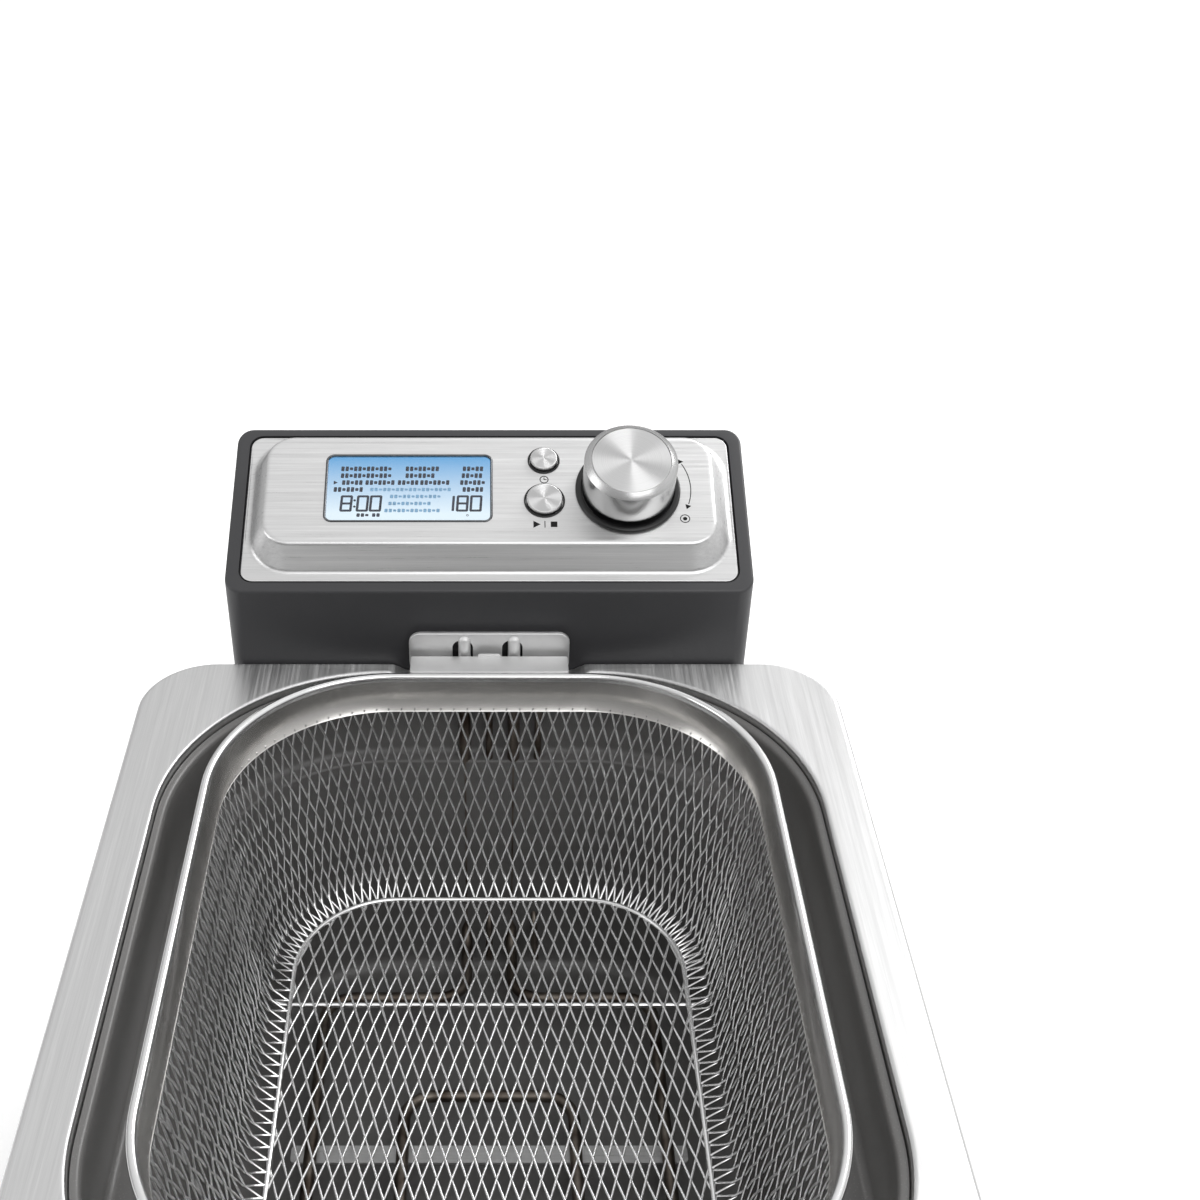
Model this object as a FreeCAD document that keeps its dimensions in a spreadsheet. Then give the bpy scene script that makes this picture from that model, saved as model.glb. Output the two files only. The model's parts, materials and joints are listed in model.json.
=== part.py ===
import FreeCAD, Part
import math
import os
import re
import Sketcher

# Countertop deep fryer, millimetres. +Z is up and the user stands on the -Y side.
# The origin is on the worktop, at the middle of the fryer's outer box with its basket handle out.

Vector = FreeCAD.Vector
Rotation = FreeCAD.Rotation

# Driving dimensions, kept in the document's spreadsheet.
SIZES = {
    "deck_width": 275, "deck_depth": 325, "deck_height": 226, "deck_corner": 28,
    "sheet": 1.5, "deck_skirt": 8, "opening_width": 241.8, "opening_back": 6.8,
    "opening_corner": 80.7, "lip_wall": 1.2, "ledge_drop": 5, "ledge_reach": 2.4,
    "saddle_width": 82, "saddle_drop": 4,
    "wrap_inset": 6, "wrap_wall": 1.2, "wrap_corner": 22, "tray_bottom": 6, "tray_top": 14,
    "foot_radius": 11, "foot_inset": 32, "grip_cup_length": 90, "grip_cup_height": 24,
    "grip_cup_depth": 14, "grip_cup_level": 132, "rail_spread": 70, "rail_bottom": 70, "rail_top": 200,
    "gap": 0.3, "bowl_wall": 1.2, "bowl_step": 38, "bowl_depth": 158, "bowl_shelf": 10, "bowl_draft": 5,
    "bowl_back_step": 0.8,
    "tower_width": 208.8, "tower_gap": 0.4, "tower_wall": 2.5, "tower_bottom": 60, "tower_corner": 6.5,
    "fascia_rise": 34.2, "fascia_slope": 23.9, "fascia_length": 80, "cover_sheet": 2,
    "panel_width": 196.8, "panel_length": 70.7, "panel_middle": 40.15, "panel_corner": 5,
    "panel_sheet": 1, "panel_sink": 0.3, "boss_height": 10, "boss_base_width": 190.8,
    "boss_base_length": 64.6, "boss_top_width": 178.4, "boss_top_length": 52.3, "boss_middle": 41.6,
    "display_x": -32.25, "display_up": 42.95, "display_width": 65.3, "display_length": 31.3,
    "button_x": 22, "timer_up": 56.4, "start_up": 36.7, "timer_radius": 5.5, "start_radius": 7.2,
    "knob_x": 55.4, "knob_up": 41.9, "knob_radius": 18.35, "knob_face": 15.5,
    "knob_bottom": 12.9, "knob_top": 29.5, "collar_radius": 21, "shaft_radius": 2,
    "rotor_radius": 3, "running_fit": 0.06,
    "leg_radius": 2.5, "leg_spread": 9.9, "leg_back": 14.6, "leg_drop": 0.3, "element_drop": 142,
    "probe_radius": 1.5,
    "rim_width": 208, "rim_back": 17, "rim_depth": 274.4, "rim_corner": 66.8, "rim_wire": 3.2,
    "rim_rise": 8, "band_drop": 8, "cage_drop": 92, "cage_wall": 1.5, "cage_draft": 12,
    "hook_width": 62.5, "pivot_reach": 298, "pivot_rise": 12, "handle_tilt": 5, "grip_start": 42,
    "grip_end": 122.5, "grip_width": 30, "grip_half": 9, "pin_radius": 2, "arm_spread": 11,
    "tower_reach": 77.5,
}

# Sizes that follow from the driving ones.
DERIVED = {
    "handle_reach": "pivot_reach + grip_end * cos(handle_tilt * 1deg) + grip_half * sin(handle_tilt * 1deg)",
    "deck_back": "(handle_reach - tower_reach) / 2",
    "deck_middle": "deck_back - deck_depth / 2",
    "side_margin": "(deck_width - opening_width) / 2",
    "opening_depth": "deck_depth - opening_back - side_margin",
    "opening_middle": "deck_back - opening_back - opening_depth / 2",
    "ledge_top": "deck_height - ledge_drop",
    "wrap_back": "deck_back - wrap_inset",
    "wrap_width": "deck_width - 2 * wrap_inset",
    "wrap_depth": "deck_depth - 2 * wrap_inset",
    "bowl_width": "opening_width - 2 * (ledge_reach + 0.5)",
    "bowl_length": "opening_depth - 2 * (ledge_reach + 0.5)",
    "bowl_corner": "opening_corner - ledge_reach - 0.5",
    "step_level": "deck_height - bowl_step",
    "bowl_floor": "deck_height - bowl_depth",
    "tower_front": "deck_back + tower_gap",
    "tower_depth": "fascia_length * cos(fascia_slope * 1deg)",
    "tower_top_front": "deck_height + fascia_rise",
    "tower_top_back": "tower_top_front + fascia_length * sin(fascia_slope * 1deg)",
    "tower_back": "tower_front + tower_depth",
    "leg_level": "deck_height - leg_drop",
    "leg_y": "deck_back - leg_back",
    "element_level": "deck_height - element_drop",
    "rim_middle": "deck_back - rim_back - rim_depth / 2",
    "rim_top": "deck_height + rim_rise",
    "pivot_y": "deck_back - pivot_reach",
    "pivot_z": "deck_height + pivot_rise",
}

doc = FreeCAD.newDocument("deep_fryer")
sheet = doc.addObject("Spreadsheet::Sheet", "sizes")
for row, (alias, size) in enumerate(SIZES.items(), start=1):
    sheet.set(f"A{row}", alias)
    sheet.set(f"B{row}", str(size))
    sheet.setAlias(f"B{row}", alias)
doc.recompute()

subparts = []   # every piece that is written out
removals = []   # cutting features, tested for having removed something


def link(formula):
    """Turn a formula of size names into an expression on the spreadsheet."""
    def expand(match):
        word = match.group(0)
        if word in SIZES:
            return f"sizes.{word}"
        if word in DERIVED:
            return f"({link(DERIVED[word])})"
        return word
    return re.sub(r"(?<![\w.])[a-z_]+", expand, str(formula))


def number(formula):
    """Value of a formula of size names."""
    value = sheet.evalExpression(link(formula))
    return float(getattr(value, "Value", value))


def spot(x, y, z=0):
    """Point given by three formulas."""
    return Vector(number(x), number(y), number(z))


def bind(feature, path, formula):
    """Drive one property by a formula."""
    feature.setExpression(path, link(formula))


# ---- outlines drawn in sketches -------------------------------------------------------------

def rect(x, y, width, depth, radius=0):
    """Rectangle about (x, y), with rounded corners where a radius is given."""
    return ("rect", x, y, width, depth, radius)


def disc(x, y, radius):
    """Circle about (x, y)."""
    return ("disc", x, y, radius)


def polygon(*points):
    """Closed outline through points given as pairs of formulas."""
    return ("polygon", points)


def hold(sketch, kind, *terms):
    """Add one dimension to a sketch and drive it by its formula, the last term."""
    *where, formula = terms
    index = sketch.addConstraint(Sketcher.Constraint(kind, *where, number(formula)))
    bind(sketch, f"Constraints[{index}]", formula)


def draw_polygon(sketch, points):
    """Draw straight sides and pin each corner to the sketch's origin."""
    places = [spot(x, y) for x, y in points]
    first = sketch.GeometryCount
    count = len(places)
    for index in range(count):
        sketch.addGeometry(Part.LineSegment(places[index], places[(index + 1) % count]))
    for index, (x, y) in enumerate(points):
        after = first + (index + 1) % count
        sketch.addConstraint(Sketcher.Constraint("Coincident", first + index, 2, after, 1))
        hold(sketch, "DistanceX", -1, 1, first + index, 1, x)
        hold(sketch, "DistanceY", -1, 1, first + index, 1, y)


def draw_rounded(sketch, x, y, width, depth, radius):
    """Draw four sides and four tangent corner arcs."""
    middle = spot(x, y)
    half_x = number(width) / 2
    half_y = number(depth) / 2
    bend = number(radius)
    first = sketch.GeometryCount
    corners = [(1, -1, -90), (1, 1, 0), (-1, 1, 90), (-1, -1, 180)]
    arcs = []
    for side_x, side_y, start in corners:
        centre = middle + Vector(side_x * (half_x - bend), side_y * (half_y - bend), 0)
        circle = Part.Circle(centre, Vector(0, 0, 1), bend)
        arcs.append(Part.ArcOfCircle(circle, math.radians(start), math.radians(start + 90)))
    for arc in arcs:
        sketch.addGeometry(arc)
    for index in range(4):
        sketch.addGeometry(Part.LineSegment(arcs[index].EndPoint, arcs[(index + 1) % 4].StartPoint))
    for index in range(4):
        line = first + 4 + index
        sketch.addConstraint(Sketcher.Constraint("Tangent", first + index, 2, line, 1))
        sketch.addConstraint(Sketcher.Constraint("Tangent", line, 2, first + (index + 1) % 4, 1))
    for arc in range(first + 1, first + 4):
        sketch.addConstraint(Sketcher.Constraint("Equal", first, arc))
    sketch.addConstraint(Sketcher.Constraint("Vertical", first + 4))
    sketch.addConstraint(Sketcher.Constraint("Horizontal", first + 5))
    hold(sketch, "Radius", first, radius)
    hold(sketch, "DistanceX", -1, 1, first + 4, 1, f"{x} + ({width}) / 2")
    hold(sketch, "DistanceX", -1, 1, first + 6, 1, f"{x} - ({width}) / 2")
    hold(sketch, "DistanceY", -1, 1, first + 5, 1, f"{y} + ({depth}) / 2")
    hold(sketch, "DistanceY", -1, 1, first + 7, 1, f"{y} - ({depth}) / 2")


def draw(sketch, shape):
    """Draw one outline in a sketch, with its sizes driven."""
    kind, *terms = shape
    if kind == "polygon":
        draw_polygon(sketch, terms[0])
    elif kind == "disc":
        x, y, radius = terms
        circle = sketch.addGeometry(Part.Circle(spot(x, y), Vector(0, 0, 1), number(radius)))
        hold(sketch, "Radius", circle, radius)
        hold(sketch, "DistanceX", -1, 1, circle, 3, x)
        hold(sketch, "DistanceY", -1, 1, circle, 3, y)
    elif number(terms[4]) == 0:
        x, y, width, depth, _ = terms
        left, right = f"{x} - ({width}) / 2", f"{x} + ({width}) / 2"
        low, high = f"{y} - ({depth}) / 2", f"{y} + ({depth}) / 2"
        draw_polygon(sketch, [(left, low), (right, low), (right, high), (left, high)])
    else:
        draw_rounded(sketch, *terms)


# ---- features of a body ---------------------------------------------------------------------

def body(label):
    """Start one piece."""
    piece = doc.addObject("PartDesign::Body", label)
    subparts.append(piece)
    return piece


def sketch_on(piece, plane, level, shapes, tilt=None):
    """Sketch on one of the body's own planes, raised by level along the plane's normal."""
    base = next(item for item in piece.Origin.OriginFeatures if item.Role == plane)
    sketch = piece.newObject("Sketcher::SketchObject", f"{piece.Name}_outline")
    sketch.AttachmentSupport = (base, [""])
    sketch.MapMode = "FlatFace"
    if tilt:
        move_y, move_z, slope = tilt
        turn = Rotation(Vector(1, 0, 0), number(slope))
        normal = turn.multVec(Vector(0, 0, 1))
        place = spot(0, move_y, move_z) + normal * number(level)
        sketch.AttachmentOffset = FreeCAD.Placement(place, turn)
    else:
        sketch.AttachmentOffset = FreeCAD.Placement(spot(0, 0, level), Rotation())
        bind(sketch, "AttachmentOffset.Base.z", level)
    for shape in shapes:
        draw(sketch, shape)
    return sketch


def add(piece, level, length, *shapes, plane="XY_Plane", tilt=None):
    """Pad outlines from a level along the plane's normal."""
    pad = piece.newObject("PartDesign::Pad", f"{piece.Name}_pad")
    sketch = sketch_on(piece, plane, level, shapes, tilt)
    pad.Profile = sketch
    bind(pad, "Length", length)
    piece.Tip = pad
    return pad


def cut(piece, level, length, *shapes, plane="XY_Plane", tilt=None):
    """Pocket outlines from a level along the plane's normal."""
    pocket = piece.newObject("PartDesign::Pocket", f"{piece.Name}_pocket")
    sketch = sketch_on(piece, plane, level, shapes, tilt)
    pocket.Profile = sketch
    pocket.Reversed = True
    bind(pocket, "Length", length)
    piece.Tip = pocket
    removals.append(pocket)
    return pocket


def loft(piece, low, high, removing=False):
    """Loft between two (level, outline) pairs, added to the body or cut from it."""
    kind = "SubtractiveLoft" if removing else "AdditiveLoft"
    skin = piece.newObject(f"PartDesign::{kind}", f"{piece.Name}_loft")
    skin.Profile = sketch_on(piece, "XY_Plane", low[0], [low[1]])
    skin.Sections = [sketch_on(piece, "XY_Plane", high[0], [high[1]])]
    skin.Ruled = True
    piece.Tip = skin
    if removing:
        removals.append(skin)
    return skin


def round_edges(piece, radius, choose):
    """Fillet the edges of the body's tip that the test picks."""
    doc.recompute()
    tip = piece.Tip
    names = [f"Edge{index}" for index, edge in enumerate(tip.Shape.Edges, start=1) if choose(edge)]
    fillet = piece.newObject("PartDesign::Fillet", f"{piece.Name}_fillet")
    fillet.Base = (tip, names)
    bind(fillet, "Radius", radius)
    piece.Tip = fillet


def on_fascia(piece):
    """Stand a piece on the sloping top of the tower: x across, y up the slope, z outwards."""
    turn = Rotation(Vector(1, 0, 0), number("fascia_slope"))
    piece.Placement = FreeCAD.Placement(Vector(), turn)
    bind(piece, "Placement.Base.y", "tower_front")
    bind(piece, "Placement.Base.z", "tower_top_front")


def plain(label, x, y, z, width, depth, height):
    """Box about (x, y), standing on z."""
    box = doc.addObject("Part::Box", label)
    bind(box, "Length", width)
    bind(box, "Width", depth)
    bind(box, "Height", height)
    bind(box, "Placement.Base.x", f"{x} - ({width}) / 2")
    bind(box, "Placement.Base.y", f"{y} - ({depth}) / 2")
    bind(box, "Placement.Base.z", z)
    return box


DIRECTIONS = {"x": Rotation(Vector(0, 1, 0), 90), "y": Rotation(Vector(1, 0, 0), -90), "z": Rotation()}


def rod(label, x, y, z, radius, length, along="z"):
    """Cylinder from (x, y, z) along a positive axis."""
    round_bar = doc.addObject("Part::Cylinder", label)
    bind(round_bar, "Radius", radius)
    bind(round_bar, "Height", length)
    round_bar.Placement = FreeCAD.Placement(Vector(), DIRECTIONS[along])
    for axis, formula in zip("xyz", (x, y, z)):
        bind(round_bar, f"Placement.Base.{axis}", formula)
    return round_bar


def group(label, pieces):
    """Keep identical or small pieces together in one node as separate solids."""
    held = doc.addObject("Part::Compound", label)
    held.Links = pieces
    subparts.append(held)
    return held


def bent_wire(points, bends):
    """Wire of straight runs joined by tangent arcs, one bend radius for each inner point."""
    edges = []
    start = points[0]
    for before, corner, after, bend in zip(points, points[1:], points[2:], bends):
        arriving = (corner - before).normalize()
        leaving = (after - corner).normalize()
        half_turn = arriving.getAngle(leaving) / 2
        reach = bend * math.tan(half_turn)
        first = corner - arriving * reach
        last = corner + leaving * reach
        to_centre = (leaving - arriving).normalize()
        middle = corner + to_centre * (bend / math.cos(half_turn) - bend)
        edges.append(Part.LineSegment(start, first).toShape())
        edges.append(Part.Arc(first, middle, last).toShape())
        start = last
    edges.append(Part.LineSegment(start, points[-1]).toShape())
    return Part.Wire(edges)


def tube(points, bends, radius):
    """Solid round bar along a bent wire."""
    path = bent_wire(points, bends)
    section = Part.Wire(Part.makeCircle(radius, points[0], points[1] - points[0]))
    return path.makePipeShell([section], True, False)


def shaped(label, shape):
    """Piece whose shape is made by the functions above."""
    feature = doc.addObject("Part::Feature", label)
    feature.Shape = shape
    feature.Placement = FreeCAD.Placement()
    subparts.append(feature)
    return feature


def deck_ring(grow):
    """Outline of the deck's opening, grown outwards by an amount."""
    return rect("0", "opening_middle", f"opening_width + 2 * ({grow})",
                f"opening_depth + 2 * ({grow})", f"opening_corner + ({grow})")


def wrap_outline(inset):
    """Outline of the housing's sheet wrap, moved inwards."""
    return rect("0", "deck_middle", f"wrap_width - 2 * ({inset})", f"wrap_depth - 2 * ({inset})",
                f"wrap_corner - ({inset})")


def rim_outline(inset):
    """Outline of the basket's rim, moved inwards."""
    return rect("0", "rim_middle", f"rim_width - 2 * ({inset})", f"rim_depth - 2 * ({inset})",
                f"rim_corner - ({inset})")


# ---- housing --------------------------------------------------------------------------------

def build_housing():
    """Steel wrap with the finger-grip windows in its sides."""
    wrap = body("outer_housing")
    height = "ledge_top - lip_wall - tray_top"
    add(wrap, "tray_top", height, wrap_outline("0"), wrap_outline("wrap_wall"))
    window = rect("deck_middle", "grip_cup_level", "grip_cup_length + 0.6", "grip_cup_height + 0.6", 5)
    cut(wrap, "-deck_width / 2", "deck_width", window, plane="YZ_Plane")


def build_deck():
    """Pressed steel deck with a rolled edge, an inner lip, a bowl ledge and a rear saddle."""
    deck = body("deck_rim")
    under = "deck_height - deck_skirt"
    add(deck, under, "deck_skirt", rect("0", "deck_middle", "deck_width", "deck_depth", "deck_corner"))
    cut(deck, under, "deck_skirt - sheet",
        rect("0", "deck_middle", "deck_width - 2 * sheet", "deck_depth - 2 * sheet", "deck_corner - sheet"))
    lip_bottom = "ledge_top - lip_wall"
    add(deck, lip_bottom, "deck_height - ledge_top + lip_wall", deck_ring("lip_wall"))
    saddle_floor = "deck_height - saddle_drop"
    add(deck, f"{saddle_floor} - sheet", "saddle_drop + sheet",
        rect("0", "deck_back - 4", "saddle_width + 2.4", "8"))
    cut(deck, "ledge_top", "ledge_drop", deck_ring("0"))
    cut(deck, lip_bottom, "lip_wall", deck_ring("-ledge_reach"))
    cut(deck, saddle_floor, "saddle_drop", rect("0", "deck_back - 4", "saddle_width", "10"))


def build_base():
    """Moulded base tray, its feet and its screws."""
    tray = body("base_tray")
    add(tray, "tray_bottom", "tray_top - tray_bottom", wrap_outline("0"))
    cut(tray, "tray_bottom + 3", "tray_top - tray_bottom - 3", wrap_outline("2"))
    screw_spots = [(f"{side_x} * 80", f"deck_middle + {side_y} * 110")
                   for side_x in (-1, 1) for side_y in (-1, 1)]
    cut(tray, "tray_bottom", "3", *[disc(x, y, 1.8) for x, y in screw_spots])
    vents = [rect(f"{column} * 14", "deck_middle", "4", "60", 1.9) for column in range(-3, 4)]
    cut(tray, "tray_bottom", "3", *vents)

    feet = body("rubber_feet")
    reach_x, reach_y = "(wrap_width / 2 - foot_inset)", "(wrap_depth / 2 - foot_inset)"
    corners = [(f"{side_x} * {reach_x}", f"deck_middle + {side_y} * {reach_y}")
               for side_x in (-1, 1) for side_y in (-1, 1)]
    add(feet, "0", "tray_bottom", *[disc(x, y, "foot_radius") for x, y in corners])

    screws = body("base_screws")
    add(screws, "tray_bottom - 2", "2", *[disc(x, y, 3.2) for x, y in screw_spots])
    add(screws, "tray_bottom", "7", *[disc(x, y, 1.5) for x, y in screw_spots])

    shield = body("inner_heat_shield")
    outline = rect("0", "deck_back - 8.2 - 146.4", "227", "292.8", 74)
    inner = rect("0", "deck_back - 8.2 - 146.4", "225.8", "291.6", 73.4)
    add(shield, "tray_bottom + 3", "169", outline)
    cut(shield, "tray_bottom + 4.2", "169", inner)
    cut(shield, "tray_bottom + 3", "2", *[disc(x, y, 1.6) for x, y in screw_spots])


def build_carry_grip(side, label):
    """Moulded cup set into the wrap as a finger grip."""
    cup = body(label)
    wall = "wrap_width / 2"
    face = wall if side > 0 else "-(wrap_width / 2 + 2)"
    inside = f"{wall} - grip_cup_depth" if side > 0 else f"-{wall}"
    add(cup, inside, "grip_cup_depth", plane="YZ_Plane",
        *[rect("deck_middle", "grip_cup_level", "grip_cup_length", "grip_cup_height", 4.7)])
    add(cup, face, "2",
        rect("deck_middle", "grip_cup_level", "grip_cup_length + 8", "grip_cup_height + 8", 8),
        plane="YZ_Plane")
    hollow = f"{wall} - grip_cup_depth + 2" if side > 0 else f"-({wall} + 3)"
    cut(cup, hollow, "grip_cup_depth + 1",
        rect("deck_middle", "grip_cup_level", "grip_cup_length - 4", "grip_cup_height - 4", 3),
        plane="YZ_Plane")


def build_dock():
    """Two T-rails that the control tower slides on, and the striker of its safety switch."""
    rails = body("dock_rails")
    length = "rail_top - rail_bottom"
    for side in (-1, 1):
        middle = f"{side} * rail_spread"
        add(rails, "rail_bottom", length, rect(middle, "wrap_back + 0.6", "14", "1.2"))
        add(rails, "rail_bottom", length, rect(middle, "wrap_back + 5.2", "4", "8.4"))
        add(rails, "rail_bottom", length, rect(middle, "tower_front + 4", "10", "2"))
    striker = body("switch_striker")
    add(striker, "96", "8", rect("0", "wrap_back + 6.5", "8", "13"))


# ---- oil bowl -------------------------------------------------------------------------------

def bowl_outline(inset, shelf=None):
    """Outline of the bowl: the shelf takes in the sides and the front, and hardly the back."""
    if shelf is None:
        shelf, back = "0", "0"
    else:
        back = "bowl_back_step"
    return rect("0", f"opening_middle + ({shelf} - {back}) / 2",
                f"bowl_width - 2 * ({shelf}) - 2 * ({inset})",
                f"bowl_length - ({shelf}) - {back} - 2 * ({inset})",
                f"bowl_corner - ({shelf}) - ({inset})")


def build_bowl():
    """Non-stick bowl: flange on the deck's ledge, a step, and walls that draw in to the floor."""
    bowl = body("oil_bowl")
    flange = "ledge_top + gap"
    low_shelf = "bowl_shelf + bowl_draft"
    loft(bowl, ("bowl_floor - bowl_wall", bowl_outline("0", low_shelf)),
         ("step_level", bowl_outline("0", "bowl_shelf")))
    add(bowl, "step_level - bowl_wall", "deck_height - step_level - ledge_drop + gap + bowl_wall",
        bowl_outline("0"))
    add(bowl, flange, "bowl_wall", deck_ring("-0.5"))
    cut(bowl, "step_level", "bowl_step", bowl_outline("bowl_wall"))
    loft(bowl, ("bowl_floor", bowl_outline("bowl_wall", low_shelf)),
         ("step_level", bowl_outline("bowl_wall", "bowl_shelf")), removing=True)
    cut(bowl, "deck_height - 9", "9", rect("5", "deck_back - 10", "44", "9"))


# ---- control tower --------------------------------------------------------------------------

TOP = ("tower_front", "tower_top_front", "fascia_slope")
COVER_SCREWS = [(f"{side} * 98.9", level) for side in (-1, 1) for level in ("85", "165", "245")]
PLUG_LEVEL = "92"


def build_tower_shell():
    """Moulded casing with a sloping top, open at the back."""
    shell = body("tower_shell")
    add(shell, "-tower_width / 2", "tower_width",
        polygon(("tower_front", "tower_bottom"), ("tower_back", "tower_bottom"),
                ("tower_back", "tower_top_back"), ("tower_front", "tower_top_front")), plane="YZ_Plane")
    half = number("tower_width / 2")

    def corner(edge):
        """Upright edge at one of the four corners."""
        ends = [vertex.Point for vertex in edge.Vertexes]
        upright = len(ends) == 2 and abs(ends[0].z - ends[1].z) > 50
        return upright and abs(abs(ends[0].x) - half) < 0.1
    round_edges(shell, "tower_corner", corner)
    drop = "tower_wall / cos(fascia_slope * 1deg)"
    rise = "tower_wall * tan(fascia_slope * 1deg)"
    cut(shell, "tower_wall - tower_width / 2", "tower_width - 2 * tower_wall",
        polygon(("tower_front + tower_wall", "tower_bottom + tower_wall"),
                ("tower_back + 1", "tower_bottom + tower_wall"),
                ("tower_back + 1", f"tower_top_back + tan(fascia_slope * 1deg) - {drop}"),
                ("tower_front + tower_wall", f"tower_top_front + {rise} - {drop}")), plane="YZ_Plane")
    add(shell, "-tower_back", "14", *[disc(x, level, 3.6) for x, level in COVER_SCREWS], plane="XZ_Plane")
    cut(shell, "-(tower_back + 1)", "12", *[disc(x, level, 1.55) for x, level in COVER_SCREWS],
        plane="XZ_Plane")
    cut(shell, "-tower_wall - 1", "tower_wall + 2", rect("0", "panel_middle", "192", "66", 4), tilt=TOP)
    cut(shell, "-(panel_sheet + panel_sink + 0.1)", "3",
        rect("0", "panel_middle", "panel_width + 1", "panel_length + 1", "panel_corner + 0.5"), tilt=TOP)
    slots = [rect(f"{side} * rail_spread", "tower_front + 1", "5", "4") for side in (-1, 1)]
    cut(shell, "tower_bottom - 1", "rail_top + 1.5 - tower_bottom", *slots)
    feet = [rect(f"{side} * rail_spread", "tower_front + 3", "11", "6") for side in (-1, 1)]
    cut(shell, "tower_bottom - 1", "tower_wall + 1.5", *feet)
    cut(shell, "tower_bottom - 1", "105.5 - tower_bottom", rect("0", "tower_front + 1.4", "9.2", "4.6"))
    cut(shell, "tower_bottom - 1", "tower_wall + 1.5", rect("0", "tower_front + 3", "9.2", "9"))
    cut(shell, "-(tower_front + tower_wall + 0.5)", "tower_wall + 1",
        *element_holes("leg_radius + 0.4", "probe_radius + 0.4"), plane="XZ_Plane")


def element_holes(leg, probe):
    """Four round holes where the element's legs and the two probes pass."""
    legs = [disc(f"{side} * leg_spread", "leg_level", leg) for side in (-1, 1)]
    return legs + [disc("0", "leg_level", probe), disc("19.8", "leg_level", probe)]


def build_tower_back():
    """Rear cover with cooling slots, its screws, the mains inlet and the reset button's guide."""
    cover = body("tower_back_cover")
    height = "tower_top_back - tower_bottom - 4"
    add(cover, "-(tower_back + cover_sheet)", "cover_sheet",
        rect("0", "(tower_top_back + tower_bottom) / 2", "tower_width - 4", height, 5), plane="XZ_Plane")
    slots = [rect("0", f"205 + {row} * 8", "110", "3.4", 1.6) for row in range(6)]
    cut(cover, "-(tower_back + cover_sheet + 1)", "cover_sheet + 2",
        *slots, *[disc(x, level, 1.65) for x, level in COVER_SCREWS],
        rect("0", PLUG_LEVEL, "28", "21", 3), disc("44", "110", 4.5), plane="XZ_Plane")

    screws = body("cover_screws")
    add(screws, "-(tower_back + cover_sheet + 1.2)", "1.2",
        *[disc(x, level, 3) for x, level in COVER_SCREWS], plane="XZ_Plane")
    add(screws, "-(tower_back + cover_sheet)", "cover_sheet + 8",
        *[disc(x, level, 1.5) for x, level in COVER_SCREWS], plane="XZ_Plane")

    inlet = body("power_inlet")
    add(inlet, "-(tower_back + cover_sheet)", "cover_sheet + 20", rect("0", PLUG_LEVEL, "27.4", "20.4", 3),
        plane="XZ_Plane")
    add(inlet, "-tower_back - tower_reach + tower_gap + tower_depth",
        "tower_reach - tower_gap - tower_depth - cover_sheet", rect("0", PLUG_LEVEL, "36", "28", 4),
        plane="XZ_Plane")
    cut(inlet, "-(tower_back + 5)", "21", rect("0", PLUG_LEVEL, "23", "16", 2.5), plane="XZ_Plane")

    pins = body("inlet_pins")
    blades = [rect(f"{place} * 7", f"{PLUG_LEVEL} + {lift}", "2", "5")
              for place, lift in ((-1, 0), (0, 3.5), (1, 0))]
    add(pins, "-(tower_back - 3)", "13", *blades, plane="XZ_Plane")


def build_fascia():
    """Embossed steel panel, its carrier, the display stack, the button rings and the knob's collar."""
    panel = body("fascia_panel")
    top = "-panel_sink"
    add(panel, "-panel_sink - panel_sheet", "panel_sheet",
        rect("0", "panel_middle", "panel_width", "panel_length", "panel_corner"))
    loft(panel, (top, rect("0", "boss_middle", "boss_base_width", "boss_base_length", 17)),
         ("boss_height - panel_sink", rect("0", "boss_middle", "boss_top_width", "boss_top_length", 13)))
    loft(panel, ("-panel_sink - panel_sheet", rect("0", "boss_middle", "boss_base_width - 2",
                                                  "boss_base_length - 2", 16)),
         ("boss_height - panel_sink - panel_sheet",
          rect("0", "boss_middle", "boss_top_width - 2", "boss_top_length - 2", 12)), removing=True)
    window = rect("display_x", "display_up", "display_width + 2.2", "display_length + 2.2", 3.3)
    timer_hole = disc("button_x", "timer_up", "timer_radius + 0.4")
    start_hole = disc("button_x", "start_up", "start_radius + 0.4")
    shaft_hole = disc("knob_x", "knob_up", 4.9)
    cut(panel, "boss_height - 3", "4", window, timer_hole, start_hole, shaft_hole)
    on_fascia(panel)

    bezel = body("display_bezel")
    add(bezel, "boss_height - 2.8", "2.7",
        rect("display_x", "display_up", "display_width + 1.9", "display_length + 1.9", 3.1),
        rect("display_x", "display_up", "display_width + 0.2", "display_length + 0.2", 2.5))
    on_fascia(bezel)
    lens = body("display_lens")
    add(lens, "boss_height - 2", "1.6",
        rect("display_x", "display_up", "display_width", "display_length", 2.4))
    on_fascia(lens)
    glass = body("display_module")
    add(glass, "boss_height - 5", "2.8", rect("display_x", "display_up", "62.5", "29", 0.5))
    on_fascia(glass)

    carrier = body("fascia_carrier")
    add(carrier, "2.5", "2", rect("0", "boss_middle", "172", "48", 9))
    cut(carrier, "2", "3", rect("display_x", "display_up", "60", "26", 2),
        disc("button_x", "timer_up", 2.4), disc("button_x", "start_up", 2.4), disc("knob_x", "knob_up", 4.8))
    on_fascia(carrier)

    rings = body("button_rings")
    face = "boss_height - panel_sink"
    for up, radius in (("timer_up", "timer_radius"), ("start_up", "start_radius")):
        add(rings, face, "0.4", disc("button_x", up, f"{radius} + 1"),
            disc("button_x", up, f"{radius} + 0.35"))
    on_fascia(rings)

    collar = body("knob_collar")
    add(collar, face, "1.6", disc("knob_x", "knob_up", "collar_radius"), disc("knob_x", "knob_up", 4.9))
    on_fascia(collar)


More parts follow.
